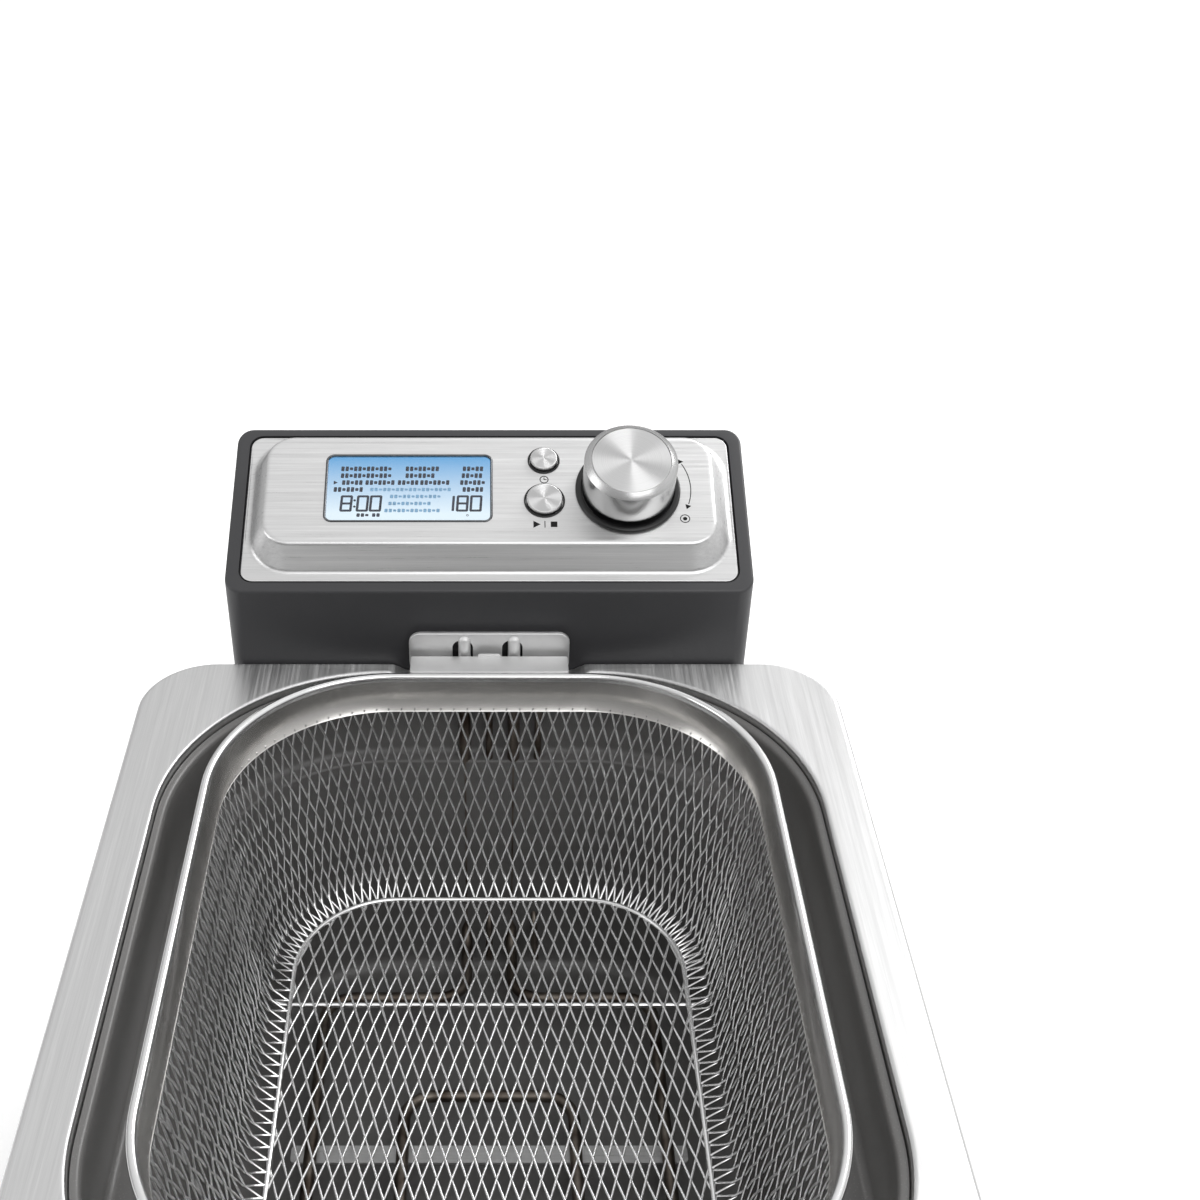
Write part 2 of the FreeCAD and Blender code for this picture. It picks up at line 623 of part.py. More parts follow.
def build_button(label, up, radius):
    """Round cap on a guide stem, with the flange that stops it coming out."""
    button = body(label)
    add(button, "0.4", "8", disc("button_x", up, 2))
    add(button, "boss_height - 3.4", "1.4", disc("button_x", up, f"{radius} + 0.9"))
    add(button, "boss_height - 2", "3.4", disc("button_x", up, radius))
    on_fascia(button)


def build_dial():
    """Encoder body with a turning rotor, and the knob that turns it and presses it."""
    encoder = body("encoder_body")
    add(encoder, "-5.4", "6.5", rect("knob_x", "knob_up", "13", "13", 1))
    add(encoder, "1.1", "7.9", disc("knob_x", "knob_up", 4.6))
    cut(encoder, "-4.9", "14", disc("knob_x", "knob_up", "rotor_radius + running_fit"))
    on_fascia(encoder)

    rotor = body("encoder_rotor")
    add(rotor, "-3.3", "12", disc("knob_x", "knob_up", "rotor_radius"),
        disc("knob_x", "knob_up", "shaft_radius + running_fit"))
    on_fascia(rotor)

    shaft = body("dial_shaft")
    add(shaft, "-3.3", "knob_top - 3.5 + 3.3", disc("knob_x", "knob_up", "shaft_radius"))
    on_fascia(shaft)

    knob = body("dial_knob")
    shoulder = "knob_top - 1.8"
    add(knob, "knob_bottom", f"{shoulder} - knob_bottom", disc("knob_x", "knob_up", "knob_radius"))
    loft(knob, (shoulder, disc("knob_x", "knob_up", "knob_radius")),
         ("knob_top", disc("knob_x", "knob_up", "knob_face + 0.3")))
    cut(knob, "knob_bottom - 1", "knob_top - knob_bottom - 1.5",
        disc("knob_x", "knob_up", "knob_radius - 1.5"))
    add(knob, "knob_bottom + 1", "knob_top - knob_bottom - 3", disc("knob_x", "knob_up", 4.5))
    cut(knob, "knob_bottom", "knob_top - 3.5 - knob_bottom", disc("knob_x", "knob_up", "shaft_radius"))
    cut(knob, "knob_top - 0.6", "1", disc("knob_x", "knob_up", "knob_face"))
    on_fascia(knob)

    face = body("knob_face")
    add(face, "knob_top - 0.6", "0.6", disc("knob_x", "knob_up", "knob_face"))
    on_fascia(face)


def build_electronics():
    """Boards, switches and thermal cut-out inside the tower."""
    board = body("control_board")
    add(board, "-7", "1.6", rect("0", "panel_middle + 2", "170", "52", 2))
    on_fascia(board)
    tacts = body("tact_switches")
    for up in ("timer_up", "start_up"):
        add(tacts, "-5.4", "4", rect("button_x", up, "6", "6"))
        add(tacts, "-1.4", "0.6", disc("button_x", up, 1.7))
    on_fascia(tacts)

    power = plain("power_board", "0", "tower_front + 28", "120", "130", "1.6", "100")
    subparts.append(power)
    deep = "tower_front + 28.8 + 8"
    parts = [
        plain("relay_left", "-45", deep, "135", "19", "16", "15"),
        plain("relay_right", "-20", deep, "135", "19", "16", "15"),
        plain("transformer", "30", deep, "140", "34", "16", "30"),
        plain("terminal_block", "0", deep, "190", "60", "16", "12"),
        rod("capacitor", "-40", "tower_front + 28.8", "175", 7, "18", along="y"),
    ]
    group("board_components", parts)
    switch = plain("interlock_switch", "0", "tower_front + 9", "105.2", "20", "8", "12")
    subparts.append(switch)
    cutout = rod("thermal_cutout", "44", "tower_back - 21.5", "110", 12, "15", along="y")
    subparts.append(cutout)
    reset = rod("reset_button", "44", "tower_back - 4.5", "110", 4, "7.5", along="y")
    subparts.append(reset)


def build_bracket():
    """Steel bracket on the tower that the basket hooks on, with a pressed rib in front of each leg."""
    bracket = body("drain_bracket")
    floor = "deck_height + 2.8"
    top = "deck_height + 16.8"
    add(bracket, "-(deck_back - 2.5)", "1.5",
        rect("0", "deck_height + 9.8", "64", "14", 4), plane="XZ_Plane")
    add(bracket, f"{top} - 1.5", "1.5", rect("0", "deck_back - 1.4", "56", "3.6"))
    ribs = [disc(f"{side} * leg_spread", "deck_back - 4", 2.4) for side in (-1, 1)]
    add(bracket, floor, "12.6", *ribs)
    add(bracket, floor, "1", rect("0", "deck_back - 7.1", "56", "9"))
    add(bracket, floor, "3.8", rect("0", "deck_back - 11.1", "56", "1"))


def leg_route(side, far, spread):
    """Run of a leg: out of the tower, down the back of the bowl, then forward over its floor."""
    start = spot(f"{side} * {spread}", "tower_front + 14", "leg_level")
    top = spot(f"{side} * {spread}", "leg_y", "leg_level")
    foot = spot(f"{side} * {spread}", "leg_y", "element_level")
    return [start, top, foot, spot(f"{side} * {spread}", far, "element_level")]


def build_element():
    """Tubular heating element in one piece, its supports, the two probes and their seal plate."""
    legs_right = leg_route(1, "deck_back - 52", "leg_spread")
    outer, inner = 70, 34
    front = number("deck_back - 245")
    rear = number("deck_back - 104")
    level = number("element_level")
    bend = 14
    out_y = legs_right[3].y
    half = legs_right[:3] + [
        Vector(legs_right[3].x, out_y, level), Vector(outer, out_y, level),
        Vector(outer, front, level), Vector(inner, front, level), Vector(inner, rear, level)]
    mirrored = [Vector(-point.x, point.y, point.z) for point in reversed(half)]
    bends = [5.2, 12, bend, bend, bend, bend]
    shape = tube(half + mirrored, bends + [bend, bend] + bends[::-1], number("leg_radius"))
    shaped("heating_element", shape)

    bars = body("element_supports")
    under = "element_level - leg_radius - 1"
    add(bars, under, "1", *[rect("0", f"deck_back - {reach}", "156", "8", 2) for reach in (130, 210)])

    for label, across in (("thermostat_probe", "0"), ("cutout_probe", "19.8")):
        points = leg_route(1, "deck_back - 40", across)
        points[2].z += 12
        points[3].z += 12
        shaped(label, tube(points, [5.2, 9], number("probe_radius")))

    plate = body("element_seal_plate")
    add(plate, "-(tower_front + tower_wall + 5)", "5",
        rect("5", "leg_level", "46", "14", 3), plane="XZ_Plane")
    cut(plate, "-(tower_front + tower_wall + 6)", "7",
        *element_holes("leg_radius", "probe_radius"), plane="XZ_Plane")


# ---- basket ---------------------------------------------------------------------------------

def build_basket():
    """Rim wire, sloping band, mesh cage and the hook plate at its back."""
    rim = body("basket_rim")
    add(rim, "rim_top - rim_wire", "rim_wire", rim_outline("0"), rim_outline("rim_wire"))

    band = body("basket_band")
    low = "deck_height - band_drop"
    high = "rim_top - rim_wire"
    loft(band, (low, rim_outline("5.5")), (high, rim_outline("0.8")))
    loft(band, (low, rim_outline("6.5")), (high, rim_outline("1.8")), removing=True)

    cage = body("basket_cage")
    floor = "deck_height - cage_drop"
    loft(cage, (floor, rim_outline("6 + cage_draft")), (low, rim_outline("6")))
    loft(cage, (f"{floor} + cage_wall", rim_outline("6 + cage_draft + cage_wall")),
         (f"{low} + 0.01", rim_outline("6 + cage_wall")), removing=True)

    hook = body("hook_plate")
    add(hook, "rim_top - 1", "1", rect("0", "deck_back - 11.95", "hook_width", "10.1"))
    add(hook, "rim_top - 1", "2.2", rect("0", "deck_back - 7.4", "9.2", "1"))
    add(hook, "deck_height + 4.4", "3", rect("0", "deck_back - 9", "24", "1"))

    bracket = body("handle_bracket")
    front = "rim_middle - rim_depth / 2"
    add(bracket, "deck_height - 2", "rim_top - deck_height + 3", rect("0", f"{front} - 0.6", "36", "1.2"))
    for side in (-1, 1):
        add(bracket, "deck_height - 2", "pivot_rise + 7",
            rect(f"{side} * 17", f"{front} - 5.6", "2", "11.2"))
    hole = "pin_radius + running_fit"
    cut(bracket, "-20", "40", disc("pivot_y", "pivot_z", hole), plane="YZ_Plane")


def swing_placement(piece):
    """Stand a handle piece at the pivot, tilted up towards its grip."""
    piece.Placement = FreeCAD.Placement(Vector(), Rotation(Vector(1, 0, 0), -number("handle_tilt")))
    bind(piece, "Placement.Base.y", "pivot_y")
    bind(piece, "Placement.Base.z", "pivot_z")


def build_handle():
    """Folding handle: forked steel arms, a two-part grip, its screws and the pivot pin."""
    fork = body("handle_fork")
    arms = [rect(f"{side} * arm_spread", "-44", "5", "76", 2) for side in (-1, 1)]
    add(fork, "-2.5", "5", *arms)
    add(fork, "-2.5", "5", rect("0", "-30", "24", "5"))
    for side in (-1, 1):
        add(fork, f"{side} * arm_spread - 2.5", "5", disc("0", "0", 5), plane="YZ_Plane")
    for side in (-1, 1):
        add(fork, "-2.5", "5", rect(f"{side} * arm_spread", "-6", "5", "9"))
    cut(fork, "-20", "40", disc("0", "0", "pin_radius"), plane="YZ_Plane")
    swing_placement(fork)

    pin = body("pivot_pin")
    add(pin, "-19", "38", disc("0", "0", "pin_radius"), plane="YZ_Plane")
    add(pin, "-20.5", "1.7", disc("0", "0", 3.2), plane="YZ_Plane")
    add(pin, "18.8", "1.7", disc("0", "0", 3.2), plane="YZ_Plane")
    swing_placement(pin)

    middle = "-(grip_start + grip_end) / 2"
    outline = rect("0", middle, "grip_width", "grip_end - grip_start", 12)
    channels = [rect(f"{side} * arm_spread", "-44", "5.2", "76.4") for side in (-1, 1)]
    holes = [disc("0", f"-{place}", 1.6) for place in (58, 108)]
    upper = body("handle_grip_upper")
    add(upper, "0", "grip_half", outline)
    cut(upper, "0", "2.6", *channels)
    cut(upper, "0", "6", *holes)
    swing_placement(upper)
    lower = body("handle_grip_lower")
    add(lower, "-grip_half", "grip_half", outline)
    cut(lower, "-2.6", "2.6", *channels)
    cut(lower, "-grip_half", "grip_half", *holes)
    cut(lower, "-grip_half", "2", *[disc("0", f"-{place}", 3) for place in (58, 108)])
    swing_placement(lower)
    screws = body("grip_screws")
    add(screws, "0.2 - grip_half", "1.6", *[disc("0", f"-{place}", 2.8) for place in (58, 108)])
    add(screws, "1.8 - grip_half", "grip_half + 3", *[disc("0", f"-{place}", 1.5) for place in (58, 108)])
    swing_placement(screws)


# ---- build, test and write ------------------------------------------------------------------

build_housing()
build_deck()
build_base()
build_carry_grip(-1, "left_carry_grip")
build_carry_grip(1, "right_carry_grip")
build_dock()
build_bowl()
build_tower_shell()
build_tower_back()
build_fascia()
build_button("timer_button", "timer_up", "timer_radius")
build_button("start_button", "start_up", "start_radius")
build_dial()
build_electronics()
build_bracket()
build_element()
build_basket()
build_handle()
doc.recompute()

for feature in doc.Objects:
    if "Invalid" in feature.State or "Error" in feature.State:
        raise RuntimeError(f"{feature.Name} failed: {feature.State}")
for removal in removals:
    before = removal.BaseFeature.Shape.Volume
    if before - removal.Shape.Volume < 0.01:
        raise RuntimeError(f"{removal.Name} removed nothing")
for piece in subparts:
    if piece.Shape.isNull() or not piece.Shape.isValid():
        raise RuntimeError(f"{piece.Label} has no valid shape")

os.makedirs("parts", exist_ok=True)
for piece in subparts:
    piece.Shape.exportStep(f"parts/{piece.Label}.step")
whole = FreeCAD.BoundBox()
for piece in subparts:
    whole.add(piece.Shape.BoundBox)
print(len(subparts), "pieces", whole)
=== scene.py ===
"""Countertop deep fryer: the shown pieces and their finishes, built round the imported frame."""

from __future__ import annotations

import json
import logging
import math
from collections import Counter
from dataclasses import dataclass, field
from enum import Enum
from typing import ClassVar, Iterable, Sequence

import bpy
from mathutils import Matrix, Vector

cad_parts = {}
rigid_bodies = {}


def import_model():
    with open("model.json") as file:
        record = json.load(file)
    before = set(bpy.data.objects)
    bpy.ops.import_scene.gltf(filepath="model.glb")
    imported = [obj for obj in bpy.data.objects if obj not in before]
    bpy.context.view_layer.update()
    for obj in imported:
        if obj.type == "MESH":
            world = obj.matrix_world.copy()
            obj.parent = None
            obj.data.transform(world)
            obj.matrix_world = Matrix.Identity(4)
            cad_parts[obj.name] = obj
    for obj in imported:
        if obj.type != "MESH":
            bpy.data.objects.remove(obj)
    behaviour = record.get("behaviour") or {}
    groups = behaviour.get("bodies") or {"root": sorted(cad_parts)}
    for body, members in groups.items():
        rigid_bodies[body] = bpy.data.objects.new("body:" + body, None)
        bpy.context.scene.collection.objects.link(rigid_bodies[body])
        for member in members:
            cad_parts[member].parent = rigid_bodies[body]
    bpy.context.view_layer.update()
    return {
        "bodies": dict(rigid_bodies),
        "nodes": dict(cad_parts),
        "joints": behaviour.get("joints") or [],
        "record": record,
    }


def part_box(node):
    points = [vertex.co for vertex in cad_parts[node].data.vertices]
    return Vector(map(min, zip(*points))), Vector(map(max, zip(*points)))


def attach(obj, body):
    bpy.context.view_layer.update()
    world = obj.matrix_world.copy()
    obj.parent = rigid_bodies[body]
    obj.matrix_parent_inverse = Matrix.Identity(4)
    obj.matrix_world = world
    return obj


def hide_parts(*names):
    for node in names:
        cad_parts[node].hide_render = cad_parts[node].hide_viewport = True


LOG = logging.getLogger("fryer")
MM = 0.001
Step = tuple[float, float]
Piece = bpy.types.Object

# Directions along a section's outline, in degrees: towards the middle of the blank, up and down.
IN, UP, DOWN = 0.0, 90.0, -90.0


# ---- small modelling helpers ----------------------------------------------------------------

def deselect_all() -> None:
    """Leave edit mode and clear the selection, so an operator acts on nothing by mistake."""
    if bpy.context.object and bpy.context.object.mode != "OBJECT":
        bpy.ops.object.mode_set(mode="OBJECT")
    bpy.ops.object.select_all(action="DESELECT")


def take(piece: Piece) -> None:
    """Make a piece the only selected and active one.

    Args:
        piece: The piece.
    """
    deselect_all()
    piece.select_set(True)
    bpy.context.view_layer.objects.active = piece


def limits(node: str) -> tuple[Vector, Vector]:
    """Low and high corner of a CAD node's box, in millimetres."""
    low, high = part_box(node)
    return Vector(low) / MM, Vector(high) / MM


def walk(heading: float, *moves: tuple[float, ...]) -> list[Step]:
    """Turn a section's outline into small steps.

    Args:
        heading: Direction that the outline starts in, in degrees.
        moves: (length,) for a straight run, or (new heading, radius) for a bend, in millimetres.

    Returns:
        Steps of (inwards, rise) in millimetres.
    """
    steps: list[Step] = []
    for move in moves:
        if len(move) == 1:
            angle = math.radians(heading)
            steps.append((move[0] * math.cos(angle), move[0] * math.sin(angle)))
            continue
        target, radius = move
        count = max(2, round(abs(target - heading) / 15))
        sense = 1 if target > heading else -1
        for index in range(count):
            start = math.radians(heading + (target - heading) * index / count)
            stop = math.radians(heading + (target - heading) * (index + 1) / count)
            inwards = sense * radius * (math.sin(stop) - math.sin(start))
            rise = sense * radius * (math.cos(start) - math.cos(stop))
            steps.append((inwards, rise))
        heading = target
    return steps


class Blank:
    """A flat blank that edit-mode operators work up into a piece. Sizes are in millimetres."""

    def __init__(self, piece: Piece) -> None:
        """Go on working on a piece that is in edit mode with its blank face selected."""
        self.piece = piece

    @classmethod
    def rounded(cls, name: str, width: float, depth: float, radius: float,
                centre: Step = (0.0, 0.0), level: float = 0.0, segments: int = 14) -> Blank:
        """Start from a rectangle with rounded corners.

        Args:
            name: Name of the piece.
            width: Size along X.
            depth: Size along Y.
            radius: Corner radius.
            centre: Middle of the rectangle.
            level: Height of the blank.
            segments: Facets of each corner.

        Returns:
            The blank, with its face selected.
        """
        deselect_all()
        place = (centre[0] * MM, centre[1] * MM, level * MM)
        bpy.ops.mesh.primitive_plane_add(size=1.0, location=place)
        piece = bpy.context.object
        piece.name = name
        piece.scale = (width * MM, depth * MM, 1.0)
        bpy.ops.object.transform_apply(location=True, rotation=True, scale=True)
        bpy.ops.object.mode_set(mode="EDIT")
        bpy.ops.mesh.select_all(action="SELECT")
        if radius > 0:
            bpy.ops.mesh.bevel(offset=radius * MM, offset_type="OFFSET", segments=segments,
                               profile=0.5, affect="VERTICES")
            bpy.ops.mesh.select_all(action="SELECT")
        return cls(piece)

    @classmethod
    def disc(cls, name: str, radius: float, centre: Step = (0.0, 0.0), level: float = 0.0,
             sides: int = 72) -> Blank:
        """Start from a filled circle.

        Args:
            name: Name of the piece.
            radius: Radius of the circle.
            centre: Middle of the circle.
            level: Height of the blank.
            sides: Facets round the circle.

        Returns:
            The blank, with its face selected.
        """
        deselect_all()
        place = (centre[0] * MM, centre[1] * MM, level * MM)
        bpy.ops.mesh.primitive_circle_add(vertices=sides, radius=radius * MM, fill_type="NGON",
                                          location=place)
        piece = bpy.context.object
        piece.name = name
        bpy.ops.object.transform_apply(location=True, rotation=True, scale=True)
        bpy.ops.object.mode_set(mode="EDIT")
        bpy.ops.mesh.select_all(action="SELECT")
        return cls(piece)

    def follow(self, steps: Iterable[Step]) -> Blank:
        """Draw the blank's face inwards and along its normal, one ring of faces for each step.

        Args:
            steps: (inwards, rise) of each ring. Inwards may be negative.

        Returns:
            The blank.
        """
        for inwards, rise in steps:
            if inwards < -1e-6:
                self._outwards(-inwards, rise)
            else:
                bpy.ops.mesh.inset(thickness=max(inwards, 1e-4) * MM, depth=rise * MM,
                                   use_boundary=True, use_even_offset=True)
        return self

    def _outwards(self, outwards: float, rise: float) -> None:
        """Extrude the face and widen it, which inset can't do.

        Args:
            outwards: How far each side moves out.
            rise: How far the face moves along its normal.
        """
        mesh = self.piece.data
        self.piece.update_from_editmode()
        chosen = [vertex.co for vertex in mesh.vertices if vertex.select]
        low = Vector([min(co[axis] for co in chosen) for axis in range(3)])
        high = Vector([max(co[axis] for co in chosen) for axis in range(3)])
        span = high - low
        grow = [(span[axis] + 2 * outwards * MM) / span[axis] for axis in range(2)]
        bpy.ops.mesh.extrude_region_move(TRANSFORM_OT_translate={"value": (0, 0, rise * MM)})
        middle = (low + high) / 2
        bpy.ops.transform.resize(value=(grow[0], grow[1], 1.0),
                                 center_override=(middle.x, middle.y, middle.z + rise * MM))

    def open_up(self) -> Blank:
        """Take away the face that is left, which leaves a ring, and return the blank."""
        bpy.ops.mesh.delete(type="ONLY_FACE")
        return self

    @staticmethod
    def _select_open_edges() -> None:
        """Select the edges that have a face on one side only."""
        bpy.ops.mesh.select_all(action="DESELECT")
        bpy.ops.mesh.select_non_manifold(extend=False, use_wire=False, use_multi_face=False,
                                         use_non_contiguous=False, use_verts=False)

    def bridge(self) -> Blank:
        """Join the two open edges of a ring.

        Returns:
            The blank.
        """
        self._select_open_edges()
        bpy.ops.mesh.bridge_edge_loops()
        return self

    def close(self) -> Blank:
        """Fill the open edge under the blank.

        Returns:
            The blank.
        """
        self._select_open_edges()
        bpy.ops.mesh.edge_face_add()
        return self

    def done(self, outwards: bool = True) -> Piece:
        """Leave edit mode.

        Args:
            outwards: Whether to make the faces of a closed piece point outwards.

        Returns:
            The finished object.
        """
        if outwards:
            bpy.ops.mesh.select_all(action="SELECT")
            bpy.ops.mesh.normals_make_consistent(inside=False)
        bpy.ops.object.mode_set(mode="OBJECT")
        return self.piece


def apply_modifier(piece: Piece, kind: str, **settings: object) -> None:
    """Add a modifier with its settings and apply it.

    Args:
        piece: The piece.
        kind: Type of the modifier.
        settings: Properties of the modifier.
    """
    take(piece)
    modifier = piece.modifiers.new(kind.title(), kind)
    for name, value in settings.items():
        setattr(modifier, name, value)
    bpy.ops.object.modifier_apply(modifier=modifier.name)


def thicken(piece: Piece, thickness: float) -> None:
    """Give a sheet its thickness in millimetres, behind the face that shows."""
    apply_modifier(piece, "SOLIDIFY", thickness=thickness * MM, offset=-1.0, use_even_offset=True)


def soften(piece: Piece, width: float, segments: int, angle: float) -> None:
    """Round the sharp edges of a piece.

    Args:
        piece: The piece.
        width: Width of the rounding in millimetres.
        segments: Facets of the rounding.
        angle: Edges sharper than this are rounded, in degrees.
    """
    apply_modifier(piece, "BEVEL", width=width * MM, segments=segments, limit_method="ANGLE",
                   angle_limit=math.radians(angle), harden_normals=False, miter_outer="MITER_ARC")


def carve(piece: Piece, cutters: Sequence[Piece]) -> None:
    """Cut volumes out of a piece.

    Args:
        piece: The piece.
        cutters: The volumes, which are thrown away afterwards.
    """
    for cutter in cutters:
        apply_modifier(piece, "BOOLEAN", operation="DIFFERENCE", solver="EXACT", object=cutter)
        bpy.data.objects.remove(cutter, do_unlink=True)


def move(piece: Piece, place: Vector, turn: Matrix | None = None) -> Piece:
    """Turn a piece about the origin, move it, and put that into its mesh.

    Args:
        piece: The piece.
        place: Where its origin goes, in metres.
        turn: Rotation, or None.

    Returns:
        The piece.
    """
    take(piece)
    piece.matrix_world = Matrix.Translation(place) @ (turn or Matrix.Identity(4))
    bpy.ops.object.transform_apply(location=True, rotation=True, scale=True)
    return piece


def join(name: str, pieces: Sequence[Piece]) -> Piece:
    """Join pieces into one.

    Args:
        name: Name of the joined piece.
        pieces: The pieces. The first one takes in the others.

    Returns:
        The joined piece.
    """
    take(pieces[0])
    for piece in pieces:
        piece.select_set(True)
    bpy.ops.object.join()
    pieces[0].name = name
    return pieces[0]


def bridge_level(piece: Piece, level: float) -> None:
    """Open the two large faces that lie at a level and join their edges by a flat ring.

    Args:
        piece: An outer and an inner sheet joined into one object.
        level: Height of both faces, in millimetres.
    """
    take(piece)
    bpy.ops.object.mode_set(mode="EDIT")
    bpy.ops.mesh.select_mode(type="FACE")
    bpy.ops.mesh.select_all(action="DESELECT")
    bpy.ops.object.mode_set(mode="OBJECT")
    mesh = piece.data

    def is_flat(indices: Iterable[int]) -> bool:
        """Whether all the vertices lie at the level."""
        return all(abs(mesh.vertices[index].co.z - level * MM) < 1e-6 for index in indices)

    for polygon in mesh.polygons:
        polygon.select = len(polygon.vertices) > 8 and is_flat(polygon.vertices)
    bpy.ops.object.mode_set(mode="EDIT")
    bpy.ops.mesh.delete(type="ONLY_FACE")
    bpy.ops.mesh.select_mode(type="EDGE")
    bpy.ops.mesh.select_all(action="DESELECT")
    bpy.ops.object.mode_set(mode="OBJECT")
    uses = Counter(key for polygon in mesh.polygons for key in polygon.edge_keys)
    for edge in mesh.edges:
        edge.select = uses[edge.key] == 1 and is_flat(edge.vertices)
    bpy.ops.object.mode_set(mode="EDIT")
    bpy.ops.mesh.bridge_edge_loops()
    bpy.ops.mesh.select_mode(type="VERT")
    bpy.ops.mesh.select_all(action="SELECT")
    bpy.ops.mesh.normals_make_consistent(inside=False)
    bpy.ops.object.mode_set(mode="OBJECT")


def cut_across(piece: Piece, axis: int, places: Iterable[float]) -> None:
    """Cut a piece's faces along planes square to an axis, and keep both sides.

    Args:
        piece: The piece.
        axis: 0 for X, 1 for Y.
        places: Where the planes stand, in millimetres.
    """
    take(piece)
    bpy.ops.object.mode_set(mode="EDIT")
    for place in places:
        spot, facing = [0.0, 0.0, 0.0], [0.0, 0.0, 0.0]
        spot[axis], facing[axis] = place * MM, 1.0
        bpy.ops.mesh.select_all(action="SELECT")
        bpy.ops.mesh.bisect(plane_co=spot, plane_no=facing)
    bpy.ops.object.mode_set(mode="OBJECT")


def prism(blank: Blank, height: float) -> Piece:
    """Raise a blank straight up into a closed block."""
    return blank.follow([(0.0, height)]).close().done()


def turn_about(axis: str, degrees: float) -> Matrix:
    """Rotation about a named axis."""
    return Matrix.Rotation(math.radians(degrees), 4, axis)


def rods(name: str, paths: Sequence[Sequence[Vector]], radius: float, sides: int = 2,
         closed: bool = False) -> Piece:
    """Round bars along paths of points.

    Args:
        name: Name of the piece.
        paths: Points of each bar, in millimetres.
        radius: Radius of the bars in millimetres.
        sides: Bevel resolution, 0 for four sides and 2 more for each step.
        closed: Whether each path is a loop.

    Returns:
        One mesh with all the bars.
    """
    deselect_all()
    line = bpy.data.curves.new(name, "CURVE")
    line.dimensions = "3D"
    line.bevel_depth = radius * MM
    line.bevel_resolution = sides
    line.use_fill_caps = True
    for path in paths:
        spline = line.splines.new("POLY")
        spline.points.add(len(path) - 1)
        for point, place in zip(spline.points, path):
            point.co = (*(place * MM), 1.0)
        spline.use_cyclic_u = closed
    piece = bpy.data.objects.new(name, line)
    bpy.context.collection.objects.link(piece)
    take(piece)
    bpy.ops.object.convert(target="MESH")
    return bpy.context.object


def bent_path(points: Sequence[Vector], bend: float) -> list[Vector]:
    """Round the corners of a path.

    Args:
        points: Corners of the path in millimetres.
        bend: Bend radius in millimetres.

    Returns:
        Points of the rounded path.
    """
    path = [points[0]]
    for before, corner, after in zip(points, points[1:], points[2:]):
        arriving = (corner - before).normalized()
        leaving = (after - corner).normalized()
        turn = arriving.angle(leaving)
        reach = bend * math.tan(turn / 2)
        axis = arriving.cross(leaving).normalized()
        middle = corner - arriving * reach + axis.cross(arriving) * bend
        arm = corner - arriving * reach - middle
        count = max(3, round(math.degrees(turn) / 10))
        for index in range(count + 1):
            path.append(middle + Matrix.Rotation(turn * index / count, 3, axis) @ arm)
    path.append(points[-1])
    return path


@dataclass(frozen=True)
class Outline:
    """A rectangle with rounded corners, followed as one closed line. Millimetres."""

    width: float
    depth: float
    radius: float
    middle: tuple[float, float]

    @property
    def length(self) -> float:
        """Length once round."""
        flats = 2 * (self.width + self.depth - 4 * self.radius)
        return flats + 2 * math.pi * self.radius

    def point(self, distance: float, inset: float) -> tuple[Vector, Vector]:
        """Place on the line.

        Args:
            distance: Distance along the line, from the right of the front side.
            inset: How far inside the line.

        Returns:
            The point and the direction that faces out there, both flat.
        """
        left = distance % self.length
        half_x = self.width / 2 - self.radius
        half_y = self.depth / 2 - self.radius
        bend = math.pi * self.radius / 2
        corners = [(half_x, -half_y), (half_x, half_y), (-half_x, half_y), (-half_x, -half_y)]
        flats = [2 * half_y, 2 * half_x, 2 * half_y, 2 * half_x]
        for index, ((x, y), flat) in enumerate(zip(corners, flats)):
            start = math.radians(90 * index - 90)
            if left <= bend:
                angle = start + left / self.radius
                facing = Vector((math.cos(angle), math.sin(angle), 0.0))
                corner = Vector((x + self.middle[0], y + self.middle[1], 0.0))
                return corner + facing * (self.radius - inset), facing
            left -= bend
            if left <= flat:
                angle = start + math.pi / 2
                facing = Vector((math.cos(angle), math.sin(angle), 0.0))
                along = Vector((-facing.y, facing.x, 0.0))
                corner = Vector((x + self.middle[0], y + self.middle[1], 0.0))
                return corner + facing * (self.radius - inset) + along * left, facing
            left -= flat
        raise ValueError("the distance runs past the outline")

    def holds(self, x: float, y: float, inset: float) -> bool:
        """Whether a flat point lies inside the line.

        Args:
            x: X of the point.
            y: Y of the point.
            inset: How far the line is moved in.

        Returns:
            True for a point inside or on the line.
        """
        away_x = abs(x - self.middle[0]) - (self.width / 2 - self.radius)
        away_y = abs(y - self.middle[1]) - (self.depth / 2 - self.radius)
        room = self.radius - inset
        if away_x > 0 and away_y > 0:
            return math.hypot(away_x, away_y) <= room
        return away_x <= room and away_y <= room


# ---- where the frame puts things ------------------------------------------------------------

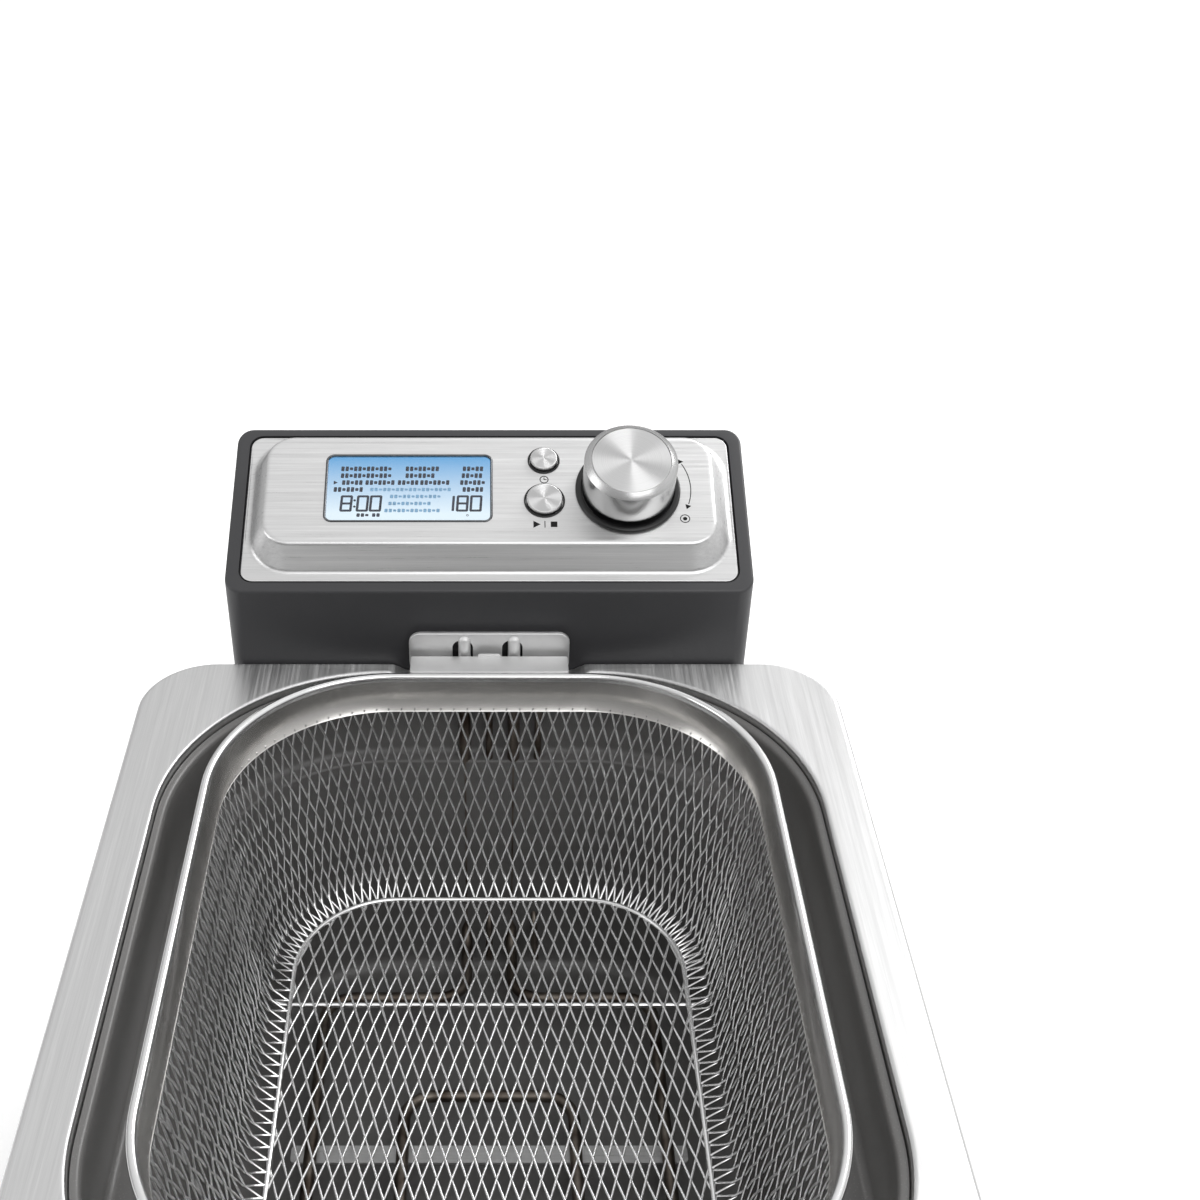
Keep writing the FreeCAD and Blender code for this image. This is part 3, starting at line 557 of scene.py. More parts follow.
@dataclass(frozen=True)
class Layout:
    """Places read from the frame, in millimetres."""

    deck_low: Vector
    deck_high: Vector
    tower_front: float
    tower_low: float
    fascia_foot: float
    fascia_slope: float = 23.9

    @classmethod
    def from_frame(cls) -> Layout:
        """Read the deck's and the tower's boxes.

        Returns:
            The layout.
        """
        deck_low, deck_high = limits("deck_rim")
        low, high = limits("tower_shell")
        foot = high.z - (high.y - low.y) * math.tan(math.radians(cls.fascia_slope))
        return cls(deck_low, deck_high, low.y, low.z, foot)

    @property
    def back(self) -> float:
        """Y of the deck's back edge."""
        return self.deck_high.y

    @property
    def top(self) -> float:
        """Z of the deck's top."""
        return self.deck_high.z

    @property
    def middle(self) -> float:
        """Y of the middle of the deck."""
        return (self.deck_low.y + self.deck_high.y) / 2

    def at(self, x: float, forward: float, rise: float) -> Vector:
        """Point given by how far it is in front of the deck's back edge and above its top."""
        return Vector((x, self.back - forward, self.top + rise))

    def on_fascia(self, piece: Piece) -> Piece:
        """Stand a piece drawn flat, x across and y up the slope, on the tower's sloping top."""
        place = Vector((0.0, self.tower_front, self.fascia_foot)) * MM
        return move(piece, place, turn_about("X", self.fascia_slope))


# ---- finishes -------------------------------------------------------------------------------

def colour(code: str) -> tuple[float, float, float, float]:
    """Turn an sRGB hex code into the linear colour that shaders use.

    Args:
        code: The code, with its leading #.

    Returns:
        Linear red, green, blue and an alpha of 1.
    """
    parts = [int(code[index:index + 2], 16) / 255 for index in (1, 3, 5)]
    linear = [part / 12.92 if part <= 0.04045 else ((part + 0.055) / 1.055) ** 2.4 for part in parts]
    return (linear[0], linear[1], linear[2], 1.0)


def add_node(tree: bpy.types.NodeTree, kind: str, values: dict[object, object] | None = None,
             links: dict[object, object] | None = None, **settings: object) -> bpy.types.Node:
    """Add a node with its settings and links.

    Args:
        tree: Node tree of the material.
        kind: Node type.
        values: Values of its input sockets.
        links: Output sockets to link to its inputs.
        settings: Properties of the node.

    Returns:
        The node.
    """
    node = tree.nodes.new(kind)
    for name, value in settings.items():
        setattr(node, name, value)
    for name, value in (values or {}).items():
        node.inputs[name].default_value = value
    for name, socket in (links or {}).items():
        tree.links.new(socket, node.inputs[name])
    return node


def noise(tree: bpy.types.NodeTree, scale: float, detail: float = 2.0) -> bpy.types.NodeSocket:
    """Add noise over a piece's own coordinates.

    Args:
        tree: Node tree of the material.
        scale: Patches in a metre.
        detail: Octaves of finer noise.

    Returns:
        The noise, about 0.5.
    """
    where = add_node(tree, "ShaderNodeTexCoord")
    return add_node(tree, "ShaderNodeTexNoise", {"Scale": scale, "Detail": detail},
                    {"Vector": where.outputs["Object"]}).outputs["Fac"]


def spread(tree: bpy.types.NodeTree, source: bpy.types.NodeSocket, low: float, high: float,
           start: float = 0.0, stop: float = 1.0) -> bpy.types.NodeSocket:
    """Map a range of values onto another one.

    Args:
        tree: Node tree of the material.
        source: Values from start to stop.
        low: What start turns into.
        high: What stop turns into.
        start: Low end of the source's range.
        stop: High end of the source's range.

    Returns:
        The mapped values.
    """
    return add_node(tree, "ShaderNodeMapRange", {"From Min": start, "From Max": stop, "To Min": low,
                                                 "To Max": high}, {"Value": source}).outputs["Result"]


def emboss(tree: bpy.types.NodeTree, shader: bpy.types.Node, height: bpy.types.NodeSocket,
           strength: float, depth: float) -> None:
    """Let a height tilt the shader's normal.

    Args:
        tree: Node tree of the material.
        shader: Its Principled shader.
        height: Height from 0 to 1.
        strength: Share of the tilt that shows.
        depth: What a height of 1 stands for, in millimetres.
    """
    bump = add_node(tree, "ShaderNodeBump", {"Strength": strength, "Distance": depth * MM},
                    {"Height": height})
    tree.links.new(bump.outputs["Normal"], shader.inputs["Normal"])


def tint(tree: bpy.types.NodeTree, shader: bpy.types.Node, base: str,
         tone: bpy.types.NodeSocket) -> None:
    """Make the base colour lighter and darker by a tone about 1.

    Args:
        tree: Node tree of the material.
        shader: Its Principled shader.
        base: The colour, as an sRGB hex code.
        tone: The factor.
    """
    shade = add_node(tree, "ShaderNodeVectorMath", {0: colour(base)[:3]}, {"Scale": tone},
                     operation="SCALE")
    tree.links.new(shade.outputs["Vector"], shader.inputs["Base Color"])


class Metal(Enum):
    """How a metal surface was finished."""

    BRUSHED = "brushed"
    POLISHED = "polished"


@dataclass(frozen=True)
class Finish:
    """Base of all finishes: a named material with one Principled shader."""

    name: str
    base: str

    def build(self) -> bpy.types.Material:
        """Make the material.

        Returns:
            The material, with everything that the finish adds.
        """
        material = bpy.data.materials.new(self.name)
        material.use_nodes = True
        material.diffuse_color = colour(self.base)
        shader = material.node_tree.nodes["Principled BSDF"]
        shader.inputs["Base Color"].default_value = colour(self.base)
        self.paint(material.node_tree, shader)
        return material

    def paint(self, tree: bpy.types.NodeTree, shader: bpy.types.Node) -> None:
        """Add what sets the finish apart from a plain colour."""


@dataclass(frozen=True)
class StainlessSteel(Finish):
    """Stainless steel 304: sheet brushed with a belt, or drawn and polished wire."""

    finish: Metal = Metal.BRUSHED
    grain: tuple[float, float, float] = (1.0, 1.0, 1.0)
    along: tuple[float, float, float] | None = None
    roughness: float = 0.3
    depth: float = 0.004

    def paint(self, tree: bpy.types.NodeTree, shader: bpy.types.Node) -> None:
        """Make it metal and add the marks of its finish.

        Args:
            tree: Node tree of the material.
            shader: Its Principled shader.
        """
        shader.inputs["Metallic"].default_value = 1.0
        if self.finish is Metal.POLISHED:
            # Drawing marks and handling haze, a few millimetres across, hardly change the gloss.
            gloss = spread(tree, noise(tree, 160.0, 4.0), self.roughness * 0.7, self.roughness * 1.4)
            tree.links.new(gloss, shader.inputs["Roughness"])
        else:
            self._brush(tree, shader)

    def _brush(self, tree: bpy.types.NodeTree, shader: bpy.types.Node) -> None:
        """Add fine scratches along one direction, and a slow change of tone.

        Args:
            tree: Node tree of the material.
            shader: Its Principled shader.
        """
        if self.along:
            direction = add_node(tree, "ShaderNodeCombineXYZ", dict(enumerate(self.along)))
            tree.links.new(direction.outputs["Vector"], shader.inputs["Tangent"])
            shader.inputs["Anisotropic"].default_value = 0.7
        # Belt scratches are 0.1 to 0.3 mm wide and tens of millimetres long.
        where = add_node(tree, "ShaderNodeTexCoord")
        stretch = add_node(tree, "ShaderNodeMapping", {"Scale": self.grain},
                           {"Vector": where.outputs["Object"]}).outputs["Vector"]
        fine = add_node(tree, "ShaderNodeTexNoise", {"Scale": 4200.0, "Detail": 3.0, "Roughness": 0.7},
                        {"Vector": stretch})
        broad = add_node(tree, "ShaderNodeTexNoise", {"Scale": 900.0, "Detail": 2.0},
                         {"Vector": stretch})
        scratches = add_node(tree, "ShaderNodeMath", {}, {0: fine.outputs["Fac"], 1: broad.outputs["Fac"]},
                             operation="MULTIPLY").outputs[0]
        gloss = spread(tree, scratches, self.roughness - 0.08, self.roughness + 0.12, 0.1, 0.45)
        tree.links.new(gloss, shader.inputs["Roughness"])
        tint(tree, shader, self.base, spread(tree, scratches, 0.86, 1.06, 0.1, 0.45))
        emboss(tree, shader, scratches, 0.25, self.depth)


@dataclass(frozen=True)
class SpunAluminium(Finish):
    """Aluminium turned in a lathe and clear anodised: fine rings that fan the highlights out."""

    roughness: float = 0.26
    fan: float = 0.8
    pitch: float = 0.22

    def paint(self, tree: bpy.types.NodeTree, shader: bpy.types.Node) -> None:
        """Add the tool's rings. The UV map holds the turn in u and the distance out in v.

        Args:
            tree: Node tree of the material.
            shader: Its Principled shader.
        """
        shader.inputs["Metallic"].default_value = 1.0
        shader.inputs["Anisotropic"].default_value = self.fan
        shader.inputs["Roughness"].default_value = self.roughness
        tangent = add_node(tree, "ShaderNodeTangent", direction_type="UV_MAP", uv_map="turned")
        tree.links.new(tangent.outputs["Tangent"], shader.inputs["Tangent"])
        where = add_node(tree, "ShaderNodeUVMap", uv_map="turned")
        split = add_node(tree, "ShaderNodeSeparateXYZ", {}, {"Vector": where.outputs["UV"]})
        # Tool rings, about a fifth of a millimetre apart, uneven in depth.
        rings = add_node(tree, "ShaderNodeTexNoise", {"Scale": 1.0 / (self.pitch * MM), "Detail": 2.0},
                         {"W": split.outputs["Y"]}, noise_dimensions="1D").outputs["Fac"]
        tint(tree, shader, self.base, spread(tree, rings, 0.88, 1.05, 0.3, 0.7))
        emboss(tree, shader, rings, 0.12, 0.004)


@dataclass(frozen=True)
class MouldedPlastic(Finish):
    """Injection-moulded ABS or nylon with a fine spark-eroded grain."""

    roughness: float = 0.5
    grain: float = 0.35
    depth: float = 0.02

    def paint(self, tree: bpy.types.NodeTree, shader: bpy.types.Node) -> None:
        """Add the grain and, over centimetres, a faint unevenness of gloss.

        Args:
            tree: Node tree of the material.
            shader: Its Principled shader.
        """
        shader.inputs["IOR"].default_value = 1.5
        emboss(tree, shader, noise(tree, 1.0 / (self.grain * MM)), 0.35, self.depth)
        gloss = spread(tree, noise(tree, 25.0, 3.0), self.roughness - 0.06, self.roughness + 0.08)
        tree.links.new(gloss, shader.inputs["Roughness"])


@dataclass(frozen=True)
class NonStick(Finish):
    """PTFE coating on pressed aluminium: dark, satin, with fine pale flakes."""

    flake: str = "#8e8c8a"

    def paint(self, tree: bpy.types.NodeTree, shader: bpy.types.Node) -> None:
        """Add sparse flakes about half a millimetre wide, and the sprayed coat's orange peel.

        Args:
            tree: Node tree of the material.
            shader: Its Principled shader.
        """
        shader.inputs["Roughness"].default_value = 0.34
        where = add_node(tree, "ShaderNodeTexCoord")
        cells = add_node(tree, "ShaderNodeTexVoronoi", {"Scale": 1100.0},
                         {"Vector": where.outputs["Object"]}, feature="F1")
        near = spread(tree, cells.outputs["Distance"], 0.55, 0.0, 0.1, 0.24)
        mix = add_node(tree, "ShaderNodeMix", {"A": colour(self.base), "B": colour(self.flake)},
                       {"Factor": near}, data_type="RGBA")
        tree.links.new(mix.outputs["Result"], shader.inputs["Base Color"])
        emboss(tree, shader, noise(tree, 700.0), 0.25, 0.03)


@dataclass(frozen=True)
class ClearAcrylic(Finish):
    """Clear acrylic window, polished."""

    def paint(self, tree: bpy.types.NodeTree, shader: bpy.types.Node) -> None:
        """Let the light through, under a hard gloss with a trace of haze.

        Args:
            tree: Node tree of the material.
            shader: Its Principled shader.
        """
        shader.inputs["Transmission Weight"].default_value = 1.0
        shader.inputs["IOR"].default_value = 1.49
        tree.links.new(spread(tree, noise(tree, 60.0), 0.01, 0.04), shader.inputs["Roughness"])


@dataclass(frozen=True)
class Backlight(Finish):
    """Liquid-crystal display lit from behind: deep blue at the top, pale at the bottom. The blue is the
    panel's own glow; the pale lower part is a painted reflection of the lights in the window.
    """

    # Painted reflection: this pale colour at the bottom stands for the lights reflected in the window, not
    # for the panel's own glow.
    low: str = "#e2f3fd"
    unlit: str = "#0c1420"
    strength: float = 1.0

    def paint(self, tree: bpy.types.NodeTree, shader: bpy.types.Node) -> None:
        """Light the panel. Its UV map runs from 0 at the bottom to 1 at the top.

        Args:
            tree: Node tree of the material.
            shader: Its Principled shader.
        """
        shader.inputs["Base Color"].default_value = colour(self.unlit)
        shader.inputs["Emission Strength"].default_value = self.strength
        shader.inputs["Roughness"].default_value = 0.5
        where = add_node(tree, "ShaderNodeUVMap", uv_map="panel")
        split = add_node(tree, "ShaderNodeSeparateXYZ", {}, {"Vector": where.outputs["UV"]})
        ramp = add_node(tree, "ShaderNodeValToRGB", {}, {"Fac": split.outputs["Y"]})
        pale, deep = ramp.color_ramp.elements
        # The pale stop at the bottom of the ramp is a painted reflection of the lights; the blue stop is
        # the real glow.
        pale.color, pale.position = colour(self.low), 0.12
        deep.color = colour(self.base)
        tree.links.new(ramp.outputs["Color"], shader.inputs["Emission Color"])


@dataclass(frozen=True)
class Ink(Finish):
    """Printed or switched-on marks: thin, flat and even."""

    roughness: float = 0.6

    def paint(self, tree: bpy.types.NodeTree, shader: bpy.types.Node) -> None:
        """Dull the ink, with a slightly uneven gloss.

        Args:
            tree: Node tree of the material.
            shader: Its Principled shader.
        """
        shader.inputs["Specular IOR Level"].default_value = 0.15
        gloss = spread(tree, noise(tree, 800.0), self.roughness - 0.1, self.roughness + 0.1)
        tree.links.new(gloss, shader.inputs["Roughness"])


@dataclass(frozen=True)
class SheathedElement(Finish):
    """Incoloy heating tube, darkened unevenly by heat."""

    burnt: str = "#4b3f36"

    def paint(self, tree: bpy.types.NodeTree, shader: bpy.types.Node) -> None:
        """Make satin metal with brown heat tint in patches a centimetre long.

        Args:
            tree: Node tree of the material.
            shader: Its Principled shader.
        """
        shader.inputs["Metallic"].default_value = 0.9
        shader.inputs["Roughness"].default_value = 0.42
        ramp = add_node(tree, "ShaderNodeValToRGB", {}, {"Fac": noise(tree, 70.0, 4.0)})
        dark, bright = ramp.color_ramp.elements
        dark.color, dark.position = colour(self.burnt), 0.35
        bright.color, bright.position = colour(self.base), 0.65
        tree.links.new(ramp.outputs["Color"], shader.inputs["Base Color"])


@dataclass(frozen=True)
class SolderMask(Finish):
    """Glass-fibre board under green solder mask."""

    track: str = "#1c5a37"
    gap: str = "#2f7a4c"

    def paint(self, tree: bpy.types.NodeTree, shader: bpy.types.Node) -> None:
        """Add gloss lacquer over a faint 2 mm weave of tracks.

        Args:
            tree: Node tree of the material.
            shader: Its Principled shader.
        """
        shader.inputs["Roughness"].default_value = 0.3
        where = add_node(tree, "ShaderNodeTexCoord")
        tracks = add_node(tree, "ShaderNodeTexBrick",
                          {"Scale": 120.0, "Mortar Size": 0.04, "Color1": colour(self.base),
                           "Color2": colour(self.track), "Mortar": colour(self.gap)},
                          {"Vector": where.outputs["Object"]})
        tree.links.new(tracks.outputs["Color"], shader.inputs["Base Color"])


@dataclass(frozen=True)
class PlatedMetal(Finish):
    """Zinc- or nickel-plated small parts."""

    roughness: float = 0.35

    def paint(self, tree: bpy.types.NodeTree, shader: bpy.types.Node) -> None:
        """Make bright metal, cloudy at a scale of a millimetre.

        Args:
            tree: Node tree of the material.
            shader: Its Principled shader.
        """
        shader.inputs["Metallic"].default_value = 1.0
        gloss = spread(tree, noise(tree, 900.0), self.roughness - 0.08, self.roughness + 0.12)
        tree.links.new(gloss, shader.inputs["Roughness"])


class Finishes:
    """All the fryer's materials, one for each real one."""

    def __init__(self) -> None:
        """Make each material once."""
        # Brushed front to back, so the scratches are long in Y.
        self.deck_steel = StainlessSteel("stainless_brushed_lengthways", "#dedede", roughness=0.42,
                                         grain=(1.0, 0.012, 1.0), along=(0.0, 1.0, 0.0)).build()
        # Brushed across the panel, so the scratches are long in X.
        self.panel_steel = StainlessSteel("stainless_brushed_across", "#dedede", roughness=0.34,
                                          grain=(0.012, 1.0, 1.0), along=(1.0, 0.0, 0.0)).build()
        # The wrap is brushed round the housing, so the scratches are thin in Z only. Its base colour is
        # set darker than the deck's steel, as painted shade on the upright sides.
        self.wrap_steel_shaded = StainlessSteel("stainless_brushed_round_painted_shade", "#b6b6b6", roughness=0.36,
                                         grain=(0.012, 0.012, 1.0)).build()
        # Drawn wire and rolled rim, polished: sharp reflections with slight haze.
        self.wire_steel = StainlessSteel("stainless_polished_wire", "#e4e4e4",
                                         finish=Metal.POLISHED, roughness=0.16).build()
        # Black-nickelled frame of the display: a thin dark line with a gloss.
        self.dark_steel = StainlessSteel("steel_black_nickelled", "#6d6f72",
                                         finish=Metal.POLISHED, roughness=0.2).build()
        # Folded bracket and hook, tumbled: even grey with no grain.
        self.tumbled_steel = StainlessSteel("stainless_tumbled", "#e4e4e4",
                                            finish=Metal.POLISHED, roughness=0.55).build()
        # The band under the rim is sheet in a softer polish.
        self.band_steel = StainlessSteel("stainless_satin_band", "#cfcdca",
                                         finish=Metal.POLISHED, roughness=0.22).build()
        # Faced on the lathe: its rings fan each highlight into a wedge.
        self.aluminium = SpunAluminium("aluminium_spun_anodised", "#dcdcdc", roughness=0.45,
                                       fan=0.95).build()
        # The dial's skirt, turned finer and glossier than its face.
        self.side_aluminium = SpunAluminium("aluminium_turned_side", "#cccccc", roughness=0.22).build()
        # Dark grey ABS with a matt grain: the tower and the base.
        self.grey_abs = MouldedPlastic("abs_moulded_dark_grey", "#38383a", roughness=0.4).build()
        # Black nylon, a little glossier: collar, rings, grip.
        self.black_nylon = MouldedPlastic("nylon_moulded_black", "#131314", roughness=0.34).build()
        # Dull, coarse-grained feet.
        self.rubber = MouldedPlastic("rubber_moulded_black", "#17181a", roughness=0.85,
                                     grain=0.5, depth=0.04).build()
        # Speckled grey coating of the bowl, which dulls the light inside it.
        self.nonstick = NonStick("ptfe_coated_aluminium", "#6b6a69").build()
        # Display: a clear window, the lit panel (its pale bottom a painted reflection of the lights), its
        # dark figures and the unlit ones.
        self.window = ClearAcrylic("acrylic_clear", "#ffffff").build()
        self.backlight_and_painted_reflection = Backlight("lcd_backlit_blue_painted_reflection", "#4f9fd8").build()
        self.figures = Ink("lcd_segments_navy", "#081a38").build()
        self.ghosts = Ink("lcd_segments_faint", "#8dbfe4").build()
        # Flat black pictograms on the steel panel.
        self.print_ink = Ink("screen_print_black", "#1c1c1c").build()
        # Brownish heat-tinted tube under the net.
        self.element = SheathedElement("incoloy_sheath", "#8d857c").build()
        # Inside: green board, dull zinc screws, warm brass pins.
        self.board = SolderMask("glass_fibre_board", "#14452b").build()
        self.zinc = PlatedMetal("steel_zinc_plated", "#b9b8b2").build()
        self.brass = PlatedMetal("brass_nickel_plated", "#c9b27a").build()


def dress(piece: Piece, material: bpy.types.Material, body: str, slot: str, *nodes: str,
          angle: float = 35.0) -> Piece:
    """Finish a piece and tie it to the frame.

    Args:
        piece: The modelled piece.
        material: Its finish.
        body: CAD body that it rides on.
        slot: Material slot of the record. Not used.
        nodes: CAD nodes that it stands for.
        angle: Edges sharper than this stay sharp in the shading, in degrees.

    Returns:
        The piece.
    """
    take(piece)
    piece.data.materials.clear()
    piece.data.materials.append(material)
    bpy.ops.object.shade_smooth_by_angle(angle=math.radians(angle))
    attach(piece, body)
    if nodes:
        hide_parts(*nodes)
    LOG.info("%s: %d faces on %s", piece.name, len(piece.data.polygons), body)
    return piece


def polar_map(piece: Piece, x: float, y: float) -> None:
    """Write the UV map of a turned piece drawn flat: the turn in u, distance out and up in v.

    Args:
        piece: The piece.
        x: X of its axis in millimetres.
        y: Y of its axis in millimetres.
    """
    layer = piece.data.uv_layers.new(name="turned")
    for polygon in piece.data.polygons:
        middle = polygon.center
        facing = math.atan2(middle.y - y * MM, middle.x - x * MM)
        for index in polygon.loop_indices:
            place = piece.data.vertices[piece.data.loops[index].vertex_index].co
            across = Vector((place.x - x * MM, place.y - y * MM))
            turn = math.atan2(across.y, across.x) if across.length > 1e-6 else facing
            turn = facing + (turn - facing + math.pi) % (2 * math.pi) - math.pi
            layer.data[index].uv = (turn / (2 * math.pi), across.length - place.z)


# ---- housing --------------------------------------------------------------------------------

@dataclass
class Housing:
    """Steel wrap, deck, base tray, feet and finger grips: what stays on the worktop."""

    layout: Layout
    finishes: Finishes
    inset: float = 6.0
    wrap_corner: float = 22.0
    deck_corner: float = 28.0
    opening_half: float = 120.9
    opening_back: float = 6.8
    opening_corner: float = 80.7
    edge_roll: float = 2.2
    lip_roll: float = 1.4
    lip_flat: float = 0.4
    saddle_half: float = 41.0
    saddle_floor: float = 32.5
    saddle_drop: float = 4.0
    saddle_depth: float = 12.0
    grip_window: tuple[float, float, float] = (90.4, 24.4, 5.0)
    grip_flange: float = 2.0
    foot_radius: float = 11.0
    tray_chamfer: float = 1.5

    def build(self) -> None:
        """Build and dress every piece of the housing."""
        self.deck()
        self.wrap()
        self.base()
        self.feet()
        for side in (-1, 1):
            self.finger_grip(side)

    def deck(self) -> None:
        """Pressed deck: rolled outer edge, rolled lip, ledge, and a saddle at the back."""
        place = self.layout
        width = place.deck_high.x - place.deck_low.x
        depth = place.deck_high.y - place.deck_low.y
        margin = width / 2 - self.opening_half
        blank = Blank.rounded("deck", width, depth, self.deck_corner, (0.0, place.middle),
                              place.deck_low.z, segments=16)
        rise = place.deck_high.z - place.deck_low.z
        blank.follow(walk(UP, (rise - self.edge_roll,), (IN, self.edge_roll), (0.6,)))
        deck = join("deck", [blank.done(outwards=False), self._lip(margin)])
        bridge_level(deck, place.top)
        self._cut_strips(deck)
        self._press_saddle(deck)
        thicken(deck, 1.2)
        dress(deck, self.finishes.deck_steel, "housing", "brushed_stainless", "deck_rim")

    def _lip(self, margin: float) -> Piece:
        """Make the inner part of the deck: the last of its flat, the rolled lip and the ledge.

        Args:
            margin: Width of the deck in front of the opening.

        Returns:
            The lip, open inside.
        """
        place = self.layout
        depth = place.deck_high.y - place.deck_low.y
        length = depth - self.opening_back - margin
        middle = place.back - self.opening_back - length / 2
        grow = self.lip_roll + self.lip_flat
        blank = Blank.rounded("deck_lip", 2 * (self.opening_half + grow), length + 2 * grow,
                              self.opening_corner + grow, (0.0, middle), place.top, segments=30)
        blank.follow(walk(IN, (self.lip_flat,), (DOWN, self.lip_roll), (2.6,), (IN, 1.0), (1.6,)))
        return blank.open_up().done(outwards=False)

    def _cut_strips(self, deck: Piece) -> None:
        """Cut the deck lengthways where the saddle's slope begins, bends and ends."""
        offsets = (self.saddle_half, 38.5, 36.5, 34.5, self.saddle_floor)
        cut_across(deck, 0, [side * offset for offset in offsets for side in (-1, 1)])

    def _press_saddle(self, deck: Piece) -> None:
        """Lower the strip behind the bowl, so the head's bracket can pass over it.

        Args:
            deck: The deck, cut where the slope bends.
        """
        top = self.layout.top * MM
        behind = (self.layout.back - self.saddle_depth) * MM
        for vertex in deck.data.vertices:
            across = abs(vertex.co.x) / MM
            if vertex.co.y < behind or across >= self.saddle_half - 0.01:
                continue
            share = (self.saddle_half - across) / (self.saddle_half - self.saddle_floor)
            share = min(1.0, max(0.0, share))
            drop = self.saddle_drop * (3 * share ** 2 - 2 * share ** 3)
            vertex.co.z = min(vertex.co.z, top - drop * MM)

    def wrap(self) -> None:
        """Sheet wrap round the housing, with a window for each finger grip."""
        place = self.layout
        width = place.deck_high.x - place.deck_low.x - 2 * self.inset
        depth = place.deck_high.y - place.deck_low.y - 2 * self.inset
        low, high = limits("outer_housing")
        blank = Blank.rounded("housing_wrap", width, depth, self.wrap_corner, (0.0, place.middle), low.z)
        wrap = blank.follow([(0.0, high.z - low.z)]).open_up().done(outwards=False)
        thicken(wrap, 1.0)
        level = sum(corner.z for corner in limits("right_carry_grip")) / 2
        cutter = prism(Blank.rounded("window", *self.grip_window), 2 * place.deck_high.x)
        across = turn_about("Y", 90) @ turn_about("Z", 90)
        move(cutter, Vector((-place.deck_high.x, place.middle, level)) * MM, across)
        carve(wrap, [cutter])
        dress(wrap, self.finishes.wrap_steel_shaded, "housing", "brushed_stainless", "outer_housing")

    def base(self) -> None:
        """Moulded tray that closes the housing's bottom, with a chamfered foot line."""
        low, high = limits("base_tray")
        inset = 2 * self.tray_chamfer
        blank = Blank.rounded("base_tray_shell", high.x - low.x - inset, high.y - low.y - inset,
                              self.wrap_corner - self.tray_chamfer, (0.0, self.layout.middle), low.z)
        blank.follow([(-self.tray_chamfer, self.tray_chamfer), (0.0, high.z - low.z - self.tray_chamfer),
                      (2.0, 0.0), (0.0, 3.0 + low.z - high.z)])
        tray = blank.close().done()
        slots = [prism(Blank.rounded("slot", 4.0, 60.0, 1.9, (14.0 * row, self.layout.middle),
                                     low.z - 1), 6.0) for row in range(-3, 4)]
        carve(tray, slots)
        dress(tray, self.finishes.grey_abs, "housing", "grey_plastic", "base_tray")

    def feet(self) -> None:
        """Four rubber feet, rounded at the floor, with a raised ring inside."""
        low, high = limits("rubber_feet")
        radius = self.foot_radius
        made: list[Piece] = []
        for x in (low.x + radius, high.x - radius):
            for y in (low.y + radius, high.y - radius):
                blank = Blank.disc("foot", radius, (x, y), high.z, sides=40)
                blank.follow([(0.0, low.z - high.z + 1.4), (0.4, -0.8), (0.8, -0.6), (3.5, 0.0),
                              (0.6, 1.2)])
                made.append(blank.close().done())
        dress(join("feet", made), self.finishes.rubber, "housing", "foot_rubber", "rubber_feet")

    def finger_grip(self, side: int) -> None:
        """Draw a moulded cup in the wrap's side, with a rounded flange.

        Args:
            side: -1 for the left, 1 for the right.
        """
        node = "left_carry_grip" if side < 0 else "right_carry_grip"
        low, high = limits(node)
        width, height = high.y - low.y, high.z - low.z
        blank = Blank.rounded(f"finger_cup_{'left' if side < 0 else 'right'}", width, height, 8.0)
        depth = high.x - low.x - 3.4
        blank.follow(walk(UP, (0.8,), (IN, 1.2), (3.0,), (DOWN, 1.5), (depth - 3.0,), (IN, 1.5)))
        cup = blank.done(outwards=False)
        thicken(cup, 1.2)
        face = high.x - self.grip_flange if side > 0 else low.x + self.grip_flange
        turn = turn_about("Z", 90 * side) @ turn_about("X", 90)
        move(cup, Vector((face, self.layout.middle, (low.z + high.z) / 2)) * MM, turn)
        dress(cup, self.finishes.black_nylon, "housing", "grey_plastic", node)


# ---- oil bowl -------------------------------------------------------------------------------

@dataclass
class OilBowl:
    """Non-stick bowl that lifts out of the housing."""

    layout: Layout
    finishes: Finishes
    corner: float = 80.2
    upper_bend: float = 3.0
    step_drop: float = 38.0
    step_width: float = 6.4
    step_shift: float = 4.1
    step_edge: float = 1.2
    draft: float = 4.0
    floor_drop: float = 158.0
    floor_bend: float = 8.0
    wall: float = 1.2

    def build(self) -> None:
        """Press the bowl from one sheet: flange, upper wall, step, lower wall and floor."""
        low, high = limits("oil_bowl")
        place = self.layout
        blank = Blank.rounded("bowl", high.x - low.x, high.y - low.y, self.corner,
                              (0.0, (low.y + high.y) / 2), high.z, segments=32)
        roll = 2.2
        upper = high.z - place.top + self.step_drop - roll - self.upper_bend
        blank.follow(walk(IN, (1.0,), (DOWN, roll), (upper,), (IN, self.upper_bend)))
        self._draw_lower(blank)
        bowl = blank.done(outwards=False)
        thicken(bowl, self.wall)
        notch = prism(Blank.rounded("notch", 44.0, 9.0, 0.0, (5.0, place.back - 9.0), place.top - 9.0),
                      12.0)
        carve(bowl, [notch])
        dress(bowl, self.finishes.nonstick, "bowl", "nonstick_coating", "oil_bowl")

    def _draw_lower(self, blank: Blank) -> None:
        """Draw the step and the lower wall, which stays close to the back.

        Args:
            blank: The upper wall, with the face that closes it selected.
        """
        blank.follow([(self.step_width, 0.0)])
        bpy.ops.transform.translate(value=(0.0, self.step_shift * MM, 0.0))
        fall = self.floor_drop - self.step_drop - self.step_edge - self.floor_bend
        blank.follow(walk(IN, (DOWN, self.step_edge)))
        count = 6
        for _ in range(count):
            blank.follow([(self.draft / count, -fall / count)])
            bpy.ops.transform.translate(value=(0.0, self.draft / count * MM, 0.0))
        blank.follow(walk(DOWN, (IN, self.floor_bend), (4.0,)))


# ---- control head ---------------------------------------------------------------------------

